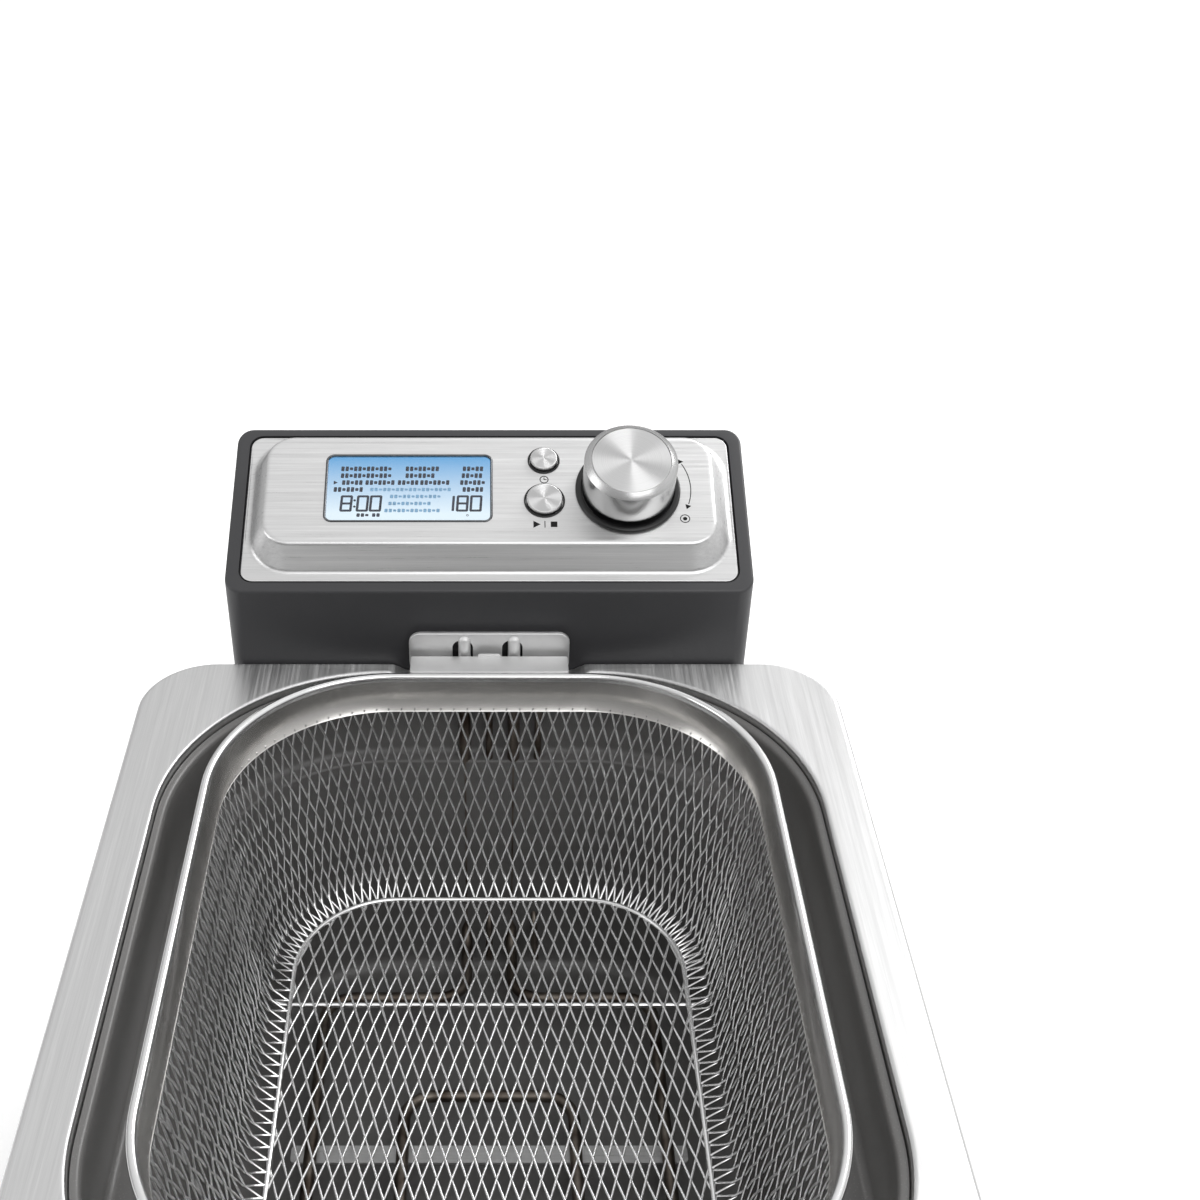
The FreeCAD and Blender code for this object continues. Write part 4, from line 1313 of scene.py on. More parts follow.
@dataclass
class Tower:
    """Moulded tower behind the deck, with its steel panel, display and rear cover."""

    layout: Layout
    finishes: Finishes
    corner: float = 6.5
    panel_width: float = 196.8
    panel_length: float = 70.7
    panel_middle: float = 40.15
    panel_corner: float = 5.0
    panel_sink: float = 0.3
    boss_middle: float = 41.0
    boss_width: float = 195.6
    boss_length: float = 68.0
    boss_corner: float = 18.8
    boss_height: float = 9.7
    boss_wall: float = 57.0
    boss_lean: float = 1.3
    display_x: float = -32.25
    display_up: float = 42.95
    display_width: float = 65.3
    display_length: float = 31.3
    button_x: float = 22.0
    timer_up: float = 56.4
    timer_radius: float = 5.5
    start_up: float = 36.7
    start_radius: float = 7.2
    key_gap: float = 0.4
    knob_x: float = 55.4
    knob_up: float = 41.9
    stem_hole: float = 4.9
    collar_radius: float = 21.0
    arrow_radius: float = 25.2
    rail_slot: tuple[float, float, float] = (70.0, 5.0, 201.5)
    switch_slot: tuple[float, float, float] = (0.0, 9.2, 104.5)

    @property
    def plateau(self) -> float:
        """Height of the plateau over the casing's sloping top."""
        return self.boss_height - self.panel_sink

    def build(self) -> None:
        """Build and dress every piece of the tower."""
        self.shell()
        self.rear_cover()
        self.panel()
        self.bezel()
        self.display()
        self.button_rings()
        self.collar()
        self.print_marks()

    def shell(self) -> None:
        """Casing with a sloping top, a rounded top edge and a recess for the panel."""
        place = self.layout
        low, high = limits("tower_shell")
        width, depth = high.x - low.x, high.y - low.y
        middle = (low.y + high.y) / 2
        blank = Blank.rounded("tower_casing", width, depth, self.corner, (0.0, middle), low.z,
                              segments=10)
        shell = blank.follow([(0.0, high.z - low.z + 5.0)]).close().done()
        slope = math.radians(place.fascia_slope)
        facing = Vector((0.0, -math.sin(slope), math.cos(slope)))
        foot = Vector((0.0, place.tower_front, place.fascia_foot)) * MM
        take(shell)
        bpy.ops.object.mode_set(mode="EDIT")
        bpy.ops.mesh.select_all(action="SELECT")
        bpy.ops.mesh.bisect(plane_co=foot, plane_no=facing, use_fill=True, clear_outer=True)
        bpy.ops.object.mode_set(mode="OBJECT")
        soften(shell, 1.1, segments=4, angle=50)
        gap = 0.7
        recess = prism(Blank.rounded("recess", self.panel_width + 2 * gap, self.panel_length + 2 * gap,
                                     self.panel_corner + gap, (0.0, self.panel_middle), -2.4,
                                     segments=8), 6.0)
        place.on_fascia(recess)
        x, width, top = self.rail_slot
        rail_slots = [self._slot(side * x, width, top) for side in (-1, 1)]
        carve(shell, [recess, *rail_slots, self._slot(*self.switch_slot)])
        dress(shell, self.finishes.grey_abs, "control_head", "grey_plastic", "tower_shell", angle=30)

    def _slot(self, x: float, width: float, top: float) -> Piece:
        """Make the cutter for a slot in the front wall, open at the bottom.

        Args:
            x: X of its middle.
            width: Its width.
            top: Height where it ends.

        Returns:
            The cutter.
        """
        low = self.layout.tower_low - 1
        blank = Blank.rounded("slot", width, 13.0, 0.0, (x, self.layout.tower_front + 4.6), low)
        return prism(blank, top - low)

    def rear_cover(self) -> None:
        """Rear cover with rounded edges, louvres and openings for the inlet and the reset key."""
        low, high = limits("tower_back_cover")
        width, height = high.x - low.x, high.z - low.z
        blank = Blank.rounded("rear_cover", width, height, 5.0)
        blank.follow(walk(UP, (high.y - low.y - 0.8,), (IN, 0.8)))
        cover = blank.close().done()
        middle = (low.z + high.z) / 2
        cutters = [prism(Blank.rounded("louvre", 110.0, 3.4, 1.6, (0.0, middle - 205.0 - 8.0 * row), -1),
                         4.0) for row in range(6)]
        cutters.append(prism(Blank.rounded("inlet_hole", 28.0, 21.0, 3.0, (0.0, middle - 92.0), -1), 4.0))
        cutters.append(prism(Blank.disc("reset_hole", 4.5, (44.0, middle - 110.0), -1), 4.0))
        carve(cover, cutters)
        move(cover, Vector((0.0, low.y, middle)) * MM, turn_about("X", -90))
        dress(cover, self.finishes.grey_abs, "control_head", "grey_plastic", "tower_back_cover")

    def panel(self) -> None:
        """Steel panel with its embossed plateau, pressed from one sheet."""
        edge = Blank.rounded("panel", self.panel_width, self.panel_length, self.panel_corner,
                             (0.0, self.panel_middle), -self.panel_sink - 0.6, segments=10)
        edge.follow(walk(UP, (0.2,), (IN, 0.4), (0.5,))).done(outwards=False)
        boss = Blank.rounded("boss", self.boss_width, self.boss_length, self.boss_corner,
                             (0.0, self.boss_middle), -self.panel_sink, segments=18)
        foot, brow = 2.8, 2.2
        angle = math.radians(self.boss_wall)
        run = (self.boss_height - (foot + brow) * (1 - math.cos(angle))) / math.sin(angle)
        boss.follow(walk(IN, (0.3,), (self.boss_wall, foot), (run,)))
        bpy.ops.transform.translate(value=(0.0, self.boss_lean * MM, 0.0))
        boss.follow(walk(self.boss_wall, (IN, brow), (0.8,))).done(outwards=False)
        panel = join("panel", [edge.piece, boss.piece])
        bridge_level(panel, -self.panel_sink)
        thicken(panel, 0.8)
        under = self.plateau - 4
        window = prism(Blank.rounded("window", self.display_width + 2.0, self.display_length + 2.0, 3.4,
                                     (self.display_x, self.display_up), under), 8.0)
        rounds = ((self.button_x, self.timer_up, self.timer_radius + self.key_gap),
                  (self.button_x, self.start_up, self.start_radius + self.key_gap),
                  (self.knob_x, self.knob_up, self.stem_hole))
        holes = [prism(Blank.disc("hole", radius, (x, up), under), 8.0) for x, up, radius in rounds]
        carve(panel, [window, *holes])
        self.layout.on_fascia(panel)
        dress(panel, self.finishes.panel_steel, "control_head", "brushed_stainless", "fascia_panel",
              angle=28)

    def bezel(self) -> None:
        """Thin bright frame round the display window."""
        blank = Blank.rounded("bezel", self.display_width + 1.7, self.display_length + 1.7, 3.1,
                              (self.display_x, self.display_up), self.plateau - 1.2, segments=8)
        blank.follow(walk(UP, (1.2,), (IN, 0.35), (0.1,), (DOWN, 0.35), (1.2,)))
        bezel = blank.open_up().bridge().done()
        self.layout.on_fascia(bezel)
        dress(bezel, self.finishes.dark_steel, "control_head", "polished_steel", "display_bezel")

    def display(self) -> None:
        """Lit panel under a clear window, with its figures and marks."""
        middle = (self.display_x, self.display_up)
        window = Blank.rounded("display_window", self.display_width, self.display_length, 2.4,
                               middle, self.plateau - 0.75, segments=8)
        window.follow(walk(UP, (0.45,), (IN, 0.25)))
        glass = window.close().done()
        self.layout.on_fascia(glass)
        dress(glass, self.finishes.window, "control_head", "lens", "display_lens")
        lit = Blank.rounded("display_panel", self.display_width, self.display_length, 2.4,
                            middle, self.plateau - 1.6, segments=8)
        lit.follow([(0.0, 0.5)])
        panel = lit.close().done()
        self._panel_map(panel)
        self.layout.on_fascia(panel)
        dress(panel, self.finishes.backlight_and_painted_reflection, "control_head", "display", "display_module")
        Readout(self, self.plateau - 1.09).build()

    def _panel_map(self, panel: Piece) -> None:
        """Write the lit panel's UV map: 0 to 1 across and up.

        Args:
            panel: The lit panel, drawn flat.
        """
        layer = panel.data.uv_layers.new(name="panel")
        for loop in panel.data.loops:
            place = panel.data.vertices[loop.vertex_index].co / MM
            across = (place.x - self.display_x) / self.display_width + 0.5
            up = (place.y - self.display_up) / self.display_length + 0.5
            layer.data[loop.index].uv = (across, up)

    def button_rings(self) -> None:
        """Dark ring round each key."""
        made: list[Piece] = []
        for up, radius in ((self.timer_up, self.timer_radius), (self.start_up, self.start_radius)):
            blank = Blank.disc("ring", radius + 1.0, (self.button_x, up), self.plateau)
            blank.follow(walk(UP, (0.2,), (IN, 0.25), (0.2,), (DOWN, 0.2), (0.25,)))
            made.append(blank.open_up().bridge().done())
        rings = join("key_rings", made)
        self.layout.on_fascia(rings)
        dress(rings, self.finishes.black_nylon, "control_head", "black_plastic", "button_rings")

    def collar(self) -> None:
        """Dark raised collar that the knob turns in."""
        blank = Blank.disc("dial_collar", self.collar_radius, (self.knob_x, self.knob_up), self.plateau)
        blank.follow(walk(UP, (0.7,), (IN, 0.9), (1.2,), (DOWN, 0.4), (0.3,), (IN, 0.3), (12.5,)))
        collar = blank.open_up().done(outwards=False)
        thicken(collar, 0.6)
        self.layout.on_fascia(collar)
        dress(collar, self.finishes.black_nylon, "control_head", "black_plastic", "knob_collar")

    def print_marks(self) -> None:
        """Printed pictograms: a clock, start and stop, a press mark and the turn arrow."""
        marks = Printer(self.plateau)
        x = self.button_x
        line, hand = 0.36, 0.34
        clock = self.timer_up - 9.4
        marks.ring((x, clock), 1.8, line)
        marks.bar((x, clock + 0.5), hand, 1.1, 0.0)
        marks.bar((x + 0.45, clock), hand, 1.1, 90.0)
        below = self.start_up - 11.4
        marks.triangle((x - 3.6, below), 1.9)
        marks.bar((x, below), hand, 3.2, 0.0)
        marks.bar((x + 3.6, below), 2.6, 2.6, 0.0)
        centre = (self.knob_x, self.knob_up + 1.0)
        marks.arc(centre, self.arrow_radius, -18.0, 28.0, line)
        marks.arrow(centre, self.arrow_radius, 31.0, 1)
        marks.arrow(centre, self.arrow_radius, -21.0, -1)
        press = (77.5, 28.0)
        marks.ring(press, 2.0, line)
        marks.dot(press, 0.85)
        sheet = join("panel_marks", marks.made)
        self.layout.on_fascia(sheet)
        dress(sheet, self.finishes.print_ink, "control_head", "black_plastic")


@dataclass
class Printer:
    """Draws flat marks, a few hundredths of a millimetre thick, that stand on a level."""

    level: float
    thickness: float = 0.03
    made: list[Piece] = field(default_factory=list)

    def _keep(self, blank: Blank, centre: Step, degrees: float = 0.0) -> None:
        """Raise a blank drawn at the origin into a thin mark and put it in place.

        Args:
            blank: The blank.
            centre: Where its middle goes.
            degrees: How far it is turned.
        """
        place = Vector((*centre, self.level)) * MM
        self.made.append(move(prism(blank, self.thickness), place, turn_about("Z", degrees)))

    def bar(self, centre: Step, width: float, length: float, degrees: float, radius: float = 0.0) -> None:
        """Draw a bar.

        Args:
            centre: Its middle.
            width: Its size across.
            length: Its size along.
            degrees: How far it is turned about its middle.
            radius: Radius of its corners.
        """
        self._keep(Blank.rounded("mark", width, length, radius, segments=4), centre, degrees)

    def dot(self, centre: Step, radius: float) -> None:
        """Draw a filled circle."""
        self._keep(Blank.disc("mark", radius, sides=28), centre)

    def triangle(self, centre: Step, radius: float, degrees: float = 0.0) -> None:
        """Draw a triangle that points right, turned by degrees."""
        self._keep(Blank.disc("mark", radius, sides=3), centre, degrees - 90)

    def ring(self, centre: Step, radius: float, width: float) -> None:
        """Draw a circle's line.

        Args:
            centre: Middle of the circle.
            radius: Outer radius.
            width: Width of the line.
        """
        blank = Blank.disc("mark", radius, centre, self.level, sides=36)
        blank.follow([(0.0, self.thickness), (width, 0.0), (0.0, -self.thickness)])
        self.made.append(blank.open_up().bridge().done())

    @staticmethod
    def _on_circle(centre: Step, radius: float, angle: float) -> Step:
        """Point of a circle at an angle in degrees."""
        turn = math.radians(angle)
        return centre[0] + radius * math.cos(turn), centre[1] + radius * math.sin(turn)

    def arc(self, centre: Step, radius: float, start: float, stop: float, width: float) -> None:
        """Draw part of a circle's line as a chain of short bars.

        Args:
            centre: Middle of the circle.
            radius: Radius of the line's middle.
            start: Angle where it starts, in degrees.
            stop: Angle where it ends, in degrees.
            width: Width of the line.
        """
        count = 16
        step = (stop - start) / count
        length = math.radians(step) * radius * 1.06
        for index in range(count):
            angle = start + step * (index + 0.5)
            self.bar(self._on_circle(centre, radius, angle), width, length, angle)

    def arrow(self, centre: Step, radius: float, angle: float, sense: int) -> None:
        """Draw an arrow head on a circle.

        Args:
            centre: Middle of the circle.
            radius: Its radius.
            angle: Where the head stands, in degrees.
            sense: 1 to point the way that angles grow, -1 for the other way.
        """
        self.triangle(self._on_circle(centre, radius, angle), 1.4, angle + 90 * sense)


@dataclass
class Readout:
    """Figures and menu marks of the display: only numbers and plain dashes."""

    tower: Tower
    level: float
    figure_height: float = 6.9
    figure_width: float = 3.9
    stroke: float = 1.0
    lean: float = 3.0
    dash_pitch: float = 1.72
    dash_width: float = 1.3
    segments: ClassVar[dict[str, str]] = {"0": "abcdef", "1": "bc", "8": "abcdefg"}

    def build(self) -> None:
        """Draw the lit figures, the menu rows and the faint rows behind."""
        lit = Printer(self.level, 0.02)
        low = self.tower.display_up - self.tower.display_length / 2
        left = self.tower.display_x - self.tower.display_width / 2
        row = low + 8.6
        for offset, figure in ((7.9, "8"), (14.4, "0"), (19.6, "0"),
                               (48.6, "1"), (54.2, "8"), (59.6, "0")):
            self._figure(lit, left + offset, row, figure)
        for lift in (-1.5, 1.5):
            lit.dot((left + 11.2, row + lift), 0.5)
        lit.ring((left + 56.2, low + 2.9), 0.5, 0.22)
        for offset, width in ((12.0, 5.6), (18.2, 4.2)):
            self._dashes(lit, left + offset, low + 3.0, width, 1.7)
        rows = ((25.6, ((5.0, 20.5), (31.0, 13.5), (54.0, 8.5))),
                (22.2, ((5.0, 20.0), (31.0, 12.5), (53.6, 8.9))),
                (18.8, ((5.6, 8.5), (15.0, 12.0), (28.0, 8.0), (37.0, 11.5), (53.0, 9.5))),
                (15.4, ((2.4, 11.5), (54.0, 8.5))))
        for up, words in rows:
            for offset, width in words:
                self._dashes(lit, left + offset, low + up, width, 2.3)
        lit.triangle((left + 3.0, low + 18.8), 1.1)
        figures = join("display_figures", lit.made)
        self.tower.layout.on_fascia(figures)
        dress(figures, self.tower.finishes.figures, "control_head", "display")
        faint = Printer(self.level - 0.005, 0.015)
        for up, offset, width in ((15.4, 17.0, 33.0), (12.0, 25.0, 20.0),
                                  (8.6, 24.5, 17.0), (5.2, 23.0, 22.0)):
            self._dashes(faint, left + offset, low + up, width, 1.7)
        ghosts = join("display_ghosts", faint.made)
        self.tower.layout.on_fascia(ghosts)
        dress(ghosts, self.tower.finishes.ghosts, "control_head", "display")

    def _dashes(self, printer: Printer, x: float, y: float, width: float, height: float) -> None:
        """Draw a row of small upright dashes in place of a word.

        Args:
            printer: What draws them.
            x: Left end of the row.
            y: Middle of the row.
            width: Width to fill.
            height: Height of the tall dashes. Every third one is shorter.
        """
        for index in range(max(1, round(width / self.dash_pitch))):
            tall = height * (0.62 if index % 3 == 2 else 1.0)
            printer.bar((x + self.dash_pitch * (index + 0.5), y), self.dash_width, tall, -self.lean, 0.35)

    def _figure(self, printer: Printer, x: float, y: float, figure: str) -> None:
        """Draw one seven-segment figure.

        Args:
            printer: What draws it.
            x: X of its middle.
            y: Y of its middle.
            figure: The figure.
        """
        half_x, half_y = self.figure_width / 2, self.figure_height / 2
        across = self.figure_width + self.stroke * 0.5
        along = half_y + self.stroke * 0.4
        spots = {"a": (0.0, half_y, across, True), "g": (0.0, 0.0, across, True),
                 "d": (0.0, -half_y, across, True), "b": (half_x, half_y / 2, along, False),
                 "c": (half_x, -half_y / 2, along, False), "e": (-half_x, -half_y / 2, along, False),
                 "f": (-half_x, half_y / 2, along, False)}
        for name in self.segments[figure]:
            dx, dy, length, flat = spots[name]
            slant = dy * math.tan(math.radians(self.lean))
            turn = 90.0 if flat else -self.lean
            printer.bar((x + dx + slant, y + dy), self.stroke, length, turn, 0.3)


@dataclass
class Keys:
    """The two keys of the panel."""

    tower: Tower
    finishes: Finishes
    stem: float = 2.0
    foot: float = 0.4
    cap_low: float = 6.6
    cap_flange: float = 0.9
    cap_top: float = 11.4
    cap_edge: float = 0.7

    def build(self) -> None:
        """Build each key as a turned cap on its stem."""
        tower = self.tower
        keys = (("timer_cap", tower.timer_up, tower.timer_radius, "timer_key", "timer_button"),
                ("start_cap", tower.start_up, tower.start_radius, "start_key", "start_button"))
        rim = 1.4
        skirt = self.cap_top - self.cap_low - rim - self.cap_edge
        for name, up, radius, body, node in keys:
            blank = Blank.disc(name, self.stem, (tower.button_x, up), self.foot, sides=64)
            blank.follow([(0.0, self.cap_low - self.foot), (self.stem - radius - self.cap_flange, 0.0),
                          (0.0, rim), (self.cap_flange, 0.0)])
            blank.follow(walk(UP, (skirt,), (IN, self.cap_edge), (radius - self.cap_edge - 0.4,)))
            cap = blank.close().done()
            polar_map(cap, tower.button_x, up)
            tower.layout.on_fascia(cap)
            dress(cap, self.finishes.aluminium, body, "spun_aluminium", node)


@dataclass
class Dial:
    """The big knob: turned skirt, bright bevel and spun face."""

    tower: Tower
    finishes: Finishes
    radius: float = 18.35
    face_radius: float = 15.5
    bottom: float = 12.9
    top: float = 29.5

    def build(self) -> None:
        """Build the knob's body and its face."""
        tower = self.tower
        spot = (tower.knob_x, tower.knob_up)
        bevel_in = self.radius - self.face_radius - 0.25
        bevel_down = 1.9
        blank = Blank.disc("dial_body", self.radius - 0.5, spot, self.bottom, sides=128)
        blank.follow([(-0.3, 0.25), (-0.2, 0.45)])
        blank.follow([(0.0, self.top - self.bottom - 0.7 - bevel_down)])
        blank.follow([(0.12, 0.12), (bevel_in - 0.12, bevel_down - 0.12), (0.12, 0.02)])
        blank.follow([(0.13, -0.55), (self.face_radius - 4.0, 0.0)])
        body = blank.close().done()
        polar_map(body, *spot)
        tower.layout.on_fascia(body)
        dress(body, self.finishes.side_aluminium, "dial", "spun_aluminium", "dial_knob", angle=18)
        face = Blank.disc("dial_face", self.face_radius - 0.05, spot, self.top - 0.5, sides=128)
        face.follow([(0.0, 0.35), (0.2, 0.12)])
        rings = 8
        for _ in range(rings):
            face.follow([((self.face_radius - 0.6) / rings * 0.985, -0.02)])
        disc = face.close().done()
        polar_map(disc, *spot)
        tower.layout.on_fascia(disc)
        dress(disc, self.finishes.aluminium, "dial", "spun_aluminium", "knob_face", angle=18)


@dataclass
class RearFittings:
    """Bracket, heating element and supports that hang from the tower into the bowl."""

    layout: Layout
    finishes: Finishes
    bracket_width: float = 64.0
    bracket_top: float = 16.8
    rib_x: float = 9.9
    plate_height: float = 19.0
    ledge_width: float = 56.0
    ledge_rise: float = 2.8
    tube_radius: float = 2.5
    leg_back: float = 14.6
    leg_rise: float = -0.3
    leg_bend: float = 5.2
    element_drop: float = 142.0
    loop_back: float = 52.0
    loop_front: float = 245.0
    loop_rear: float = 104.0
    loop_outer: float = 70.0
    loop_inner: float = 34.0
    loop_bend: float = 12.0

    def build(self) -> None:
        """Build and dress the bracket and the element."""
        self.bracket()
        self.element()

    def bracket(self) -> None:
        """Folded steel bracket: back plate with two pressed ribs, and the ledge for the hook."""
        place = self.layout
        blank = Blank.rounded("bracket_plate", self.bracket_width, self.plate_height, 4.6, segments=8)
        blank.follow(walk(UP, (1.0,), (IN, 0.5)))
        plate = blank.close().done()
        upright = turn_about("X", 90)
        move(plate, place.at(0.0, 2.5, self.bracket_top - self.plate_height / 2) * MM, upright)
        arches = []
        for side in (-1, 1):
            arch = prism(Blank.rounded("arch", 8.2, 16.0, 3.6, segments=8), 4.0)
            arches.append(move(arch, place.at(side * self.rib_x - 0.7, 1.5, 5.6) * MM, upright))
        carve(plate, arches)
        made = [plate]
        for side in (-1, 1):
            rib = Blank.rounded("rib", 5.0, 21.0, 2.4, segments=10)
            rib.follow([(0.0, 0.3), (0.1, 0.7), (0.25, 0.7), (0.45, 0.55), (0.6, 0.3), (0.7, 0.1)])
            bar = rib.close().done()
            made.append(move(bar, place.at(side * self.rib_x, 3.0, 5.1) * MM, upright))
        ledge = prism(Blank.rounded("ledge", self.ledge_width, 9.0, 1.5, segments=4), 1.0)
        move(ledge, place.at(0.0, 7.1, self.ledge_rise) * MM)
        lip = prism(Blank.rounded("lip", self.ledge_width, 1.0, 0.3, segments=2), 3.8)
        move(lip, place.at(0.0, 11.1, self.ledge_rise) * MM)
        flange = prism(Blank.rounded("flange", self.ledge_width, 3.6, 0.4, segments=2), 1.2)
        move(flange, place.at(0.0, 1.4, self.bracket_top - 4.0) * MM)
        bracket = join("bracket", made + [ledge, lip, flange])
        dress(bracket, self.finishes.tumbled_steel, "control_head", "brushed_stainless", "drain_bracket")

    def element(self) -> None:
        """Bend the heating tube: down the back of the bowl, then in loops over its floor."""
        place = self.layout
        drop = -self.element_drop
        half = [Vector((self.rib_x, place.tower_front + 12.0, place.top + self.leg_rise)),
                place.at(self.rib_x, self.leg_back, self.leg_rise),
                place.at(self.rib_x, self.leg_back, drop), place.at(self.rib_x, self.loop_back, drop),
                place.at(self.loop_outer, self.loop_back, drop),
                place.at(self.loop_outer, self.loop_front, drop),
                place.at(self.loop_inner, self.loop_front, drop),
                place.at(self.loop_inner, self.loop_rear, drop)]
        upper = bent_path(half[:3], self.leg_bend)
        lower = bent_path(half[1:] + self._mirrored(half)[:-1], self.loop_bend)
        path = upper[:-1] + lower[1:-1] + self._mirrored(upper)[1:]
        tube = rods("heating_tube", [path], self.tube_radius, sides=4)
        dress(tube, self.finishes.element, "control_head", "element_sheath", "heating_element")

    @staticmethod
    def _mirrored(points: Sequence[Vector]) -> list[Vector]:
        """Points of the left half, in the order that carries on from the right half."""
        return [Vector((-point.x, point.y, point.z)) for point in reversed(points)]


# ---- basket ---------------------------------------------------------------------------------

@dataclass
class Basket:
    """Frying basket: rolled rim, band, woven net and the hook plate at its back."""

    layout: Layout
    finishes: Finishes
    width: float = 208.0
    depth: float = 274.4
    corner: float = 66.8
    back: float = 17.0
    rise: float = 8.0
    wire: float = 3.2
    band_drop: float = 8.0
    band_inset: float = 5.6
    net_drop: float = 91.0
    net_draft: float = 12.0
    net_wire: float = 0.46
    pitch: float = 5.2
    row: float = 8.6
    floor_wire: float = 1.2
    hoop_wire: float = 1.1

    def build(self) -> None:
        """Build and dress every piece of the basket."""
        self.rim()
        self.band()
        self.net_walls()
        self.net_floor()
        self.frame_wires()
        self.hook()

    @property
    def outline(self) -> Outline:
        """Outer line of the rim."""
        middle = self.layout.back - self.back - self.depth / 2
        return Outline(self.width, self.depth, self.corner, (0.0, middle))

    def _blank(self, name: str, inset: float, level: float) -> Blank:
        """Start a blank inside the rim's outline.

        Args:
            name: Name of the piece.
            inset: How far inside the outline.
            level: Height over the deck.

        Returns:
            The blank.
        """
        line = self.outline
        return Blank.rounded(name, line.width - 2 * inset, line.depth - 2 * inset,
                             line.radius - inset, line.middle, self.layout.top + level, segments=30)

    def rim(self) -> None:
        """Rolled edge: a round top that turns down on both sides."""
        half = self.wire / 2
        blank = self._blank("basket_rim_roll", 0.0, self.rise - self.wire + 0.4)
        blank.follow(walk(UP, (self.wire - half - 0.4,), (IN, half), (DOWN, half),
                          (self.wire - half - 0.4,)))
        rim = blank.open_up().bridge().done()
        dress(rim, self.finishes.wire_steel, "basket", "polished_steel", "basket_rim", angle=60)

    def band(self) -> None:
        """Sheet band that slopes in under the rim, with a turned-in lower edge."""
        blank = self._blank("basket_band_sheet", 1.1, self.rise - self.wire + 0.6)
        fall = self.rise - self.wire + 0.6 + self.band_drop
        slope = self.band_inset - 1.1 - 1.0
        blank.follow([(slope * 0.25, -fall * 0.4), (slope * 0.75, -fall * 0.6), (0.3, -0.25)])
        band = blank.open_up().done(outwards=False)
        thicken(band, 0.6)
        dress(band, self.finishes.band_steel, "basket", "polished_steel", "basket_band", angle=40)

    def _wall_line(self) -> list[tuple[float, float]]:
        """Lay out the net's section from the band to the floor.

        Returns:
            Its points as (inset, level) pairs.
        """
        top = (self.band_inset - 1.9, -self.band_drop + 1.0)
        bend = 9.0
        foot = (self.band_inset + self.net_draft, -self.net_drop + bend)
        line = [top, foot]
        for index in range(1, 7):
            angle = math.radians(15.0 * index)
            line.append((foot[0] + bend * (1 - math.cos(angle)), foot[1] - bend * math.sin(angle)))
        return line

    def _section(self, distance: float) -> tuple[float, float, float]:
        """Place on the net's section.

        Args:
            distance: Distance down the section from the band.

        Returns:
            Inset, level, and the section's angle below the level in degrees.
        """
        line = self._wall_line()
        for (in_a, up_a), (in_b, up_b) in zip(line, line[1:]):
            length = math.hypot(in_b - in_a, up_b - up_a)
            if distance <= length:
                share = distance / length
                angle = math.degrees(math.atan2(up_a - up_b, in_b - in_a))
                return in_a + (in_b - in_a) * share, up_a + (up_b - up_a) * share, angle
            distance -= length
        return line[-1][0], line[-1][1], 0.0

    @property
    def section_length(self) -> float:
        """Length of the net's section."""
        line = self._wall_line()
        return sum(math.dist(start, stop) for start, stop in zip(line, line[1:]))

    def net_walls(self) -> None:
        """Weave the walls: wires lean both ways and cross in level rows."""
        outline = self.outline
        count = round(outline.length / self.pitch)
        pitch = outline.length / count
        rows = round(self.section_length / self.row)
        paths: list[list[Vector]] = []
        for lean in (-1, 1):
            for index in range(count):
                path: list[Vector] = []
                for row in range(rows + 1):
                    inset, level, angle = self._section(self.section_length * row / rows)
                    along = (index + lean * row / 2) * pitch
                    spot, facing = outline.point(along, inset)
                    over = lean * (1 if row % 2 else -1) * self.net_wire * 0.9
                    tilt = math.radians(angle)
                    point = spot + facing * math.sin(tilt) * over
                    point.z = self.layout.top + level - math.cos(tilt) * over
                    path.append(point)
                paths.append(path)
        net = rods("basket_net_walls", paths, self.net_wire, sides=1)
        dress(net, self.finishes.wire_steel, "basket", "polished_steel", "basket_cage", angle=60)

    def net_floor(self) -> None:
        """Weave the floor in the same leaning pattern, cut to the floor's outline."""
        outline = self.outline
        inset = self._wall_line()[-1][0] - 0.5
        level = self.layout.top - self.net_drop
        slope = self.pitch / 2 / self.row
        reach = outline.width / 2 + outline.depth * slope
        count = round(reach / self.pitch)
        start = outline.middle[1] - outline.depth / 2
        rows = round(outline.depth / self.row)
        paths: list[list[Vector]] = []
        for lean in (-1, 1):
            for index in range(-count, count + 1):
                line = [Vector((index * self.pitch + lean * (row - rows / 2) * self.pitch / 2,
                                start + row * self.row,
                                level + lean * (1 if row % 2 else -1) * self.net_wire * 0.9))
                        for row in range(rows + 1)]
                path = self._within(line, inset)
                if len(path) > 1:
                    paths.append(path)
        net = rods("basket_net_floor", paths, self.net_wire, sides=1)
        dress(net, self.finishes.wire_steel, "basket", "polished_steel", angle=60)

    def _within(self, line: Sequence[Vector], inset: float) -> list[Vector]:
        """Cut a wire of the floor to the floor's outline.

        Args:
            line: Points of the wire in millimetres.
            inset: How far the floor's outline lies inside the rim's.

        Returns:
            The points inside, with the ends on the outline.
        """
        outline = self.outline
        path: list[Vector] = []
        for start, stop in zip(line, line[1:]):
            ends = (outline.holds(start.x, start.y, inset), outline.holds(stop.x, stop.y, inset))
            if not any(ends):
                continue
            near, far = (start, stop) if ends[0] else (stop, start)
            edge = far
            if not all(ends):
                low, high = 0.0, 1.0
                for _ in range(10):
                    middle = (low + high) / 2
                    edge = near.lerp(far, middle)
                    if outline.holds(edge.x, edge.y, inset):
                        low = middle
                    else:
                        high = middle
            if not path:
                path.append(start if ends[0] else edge)
            path.append(edge if ends[0] else stop)
        return path

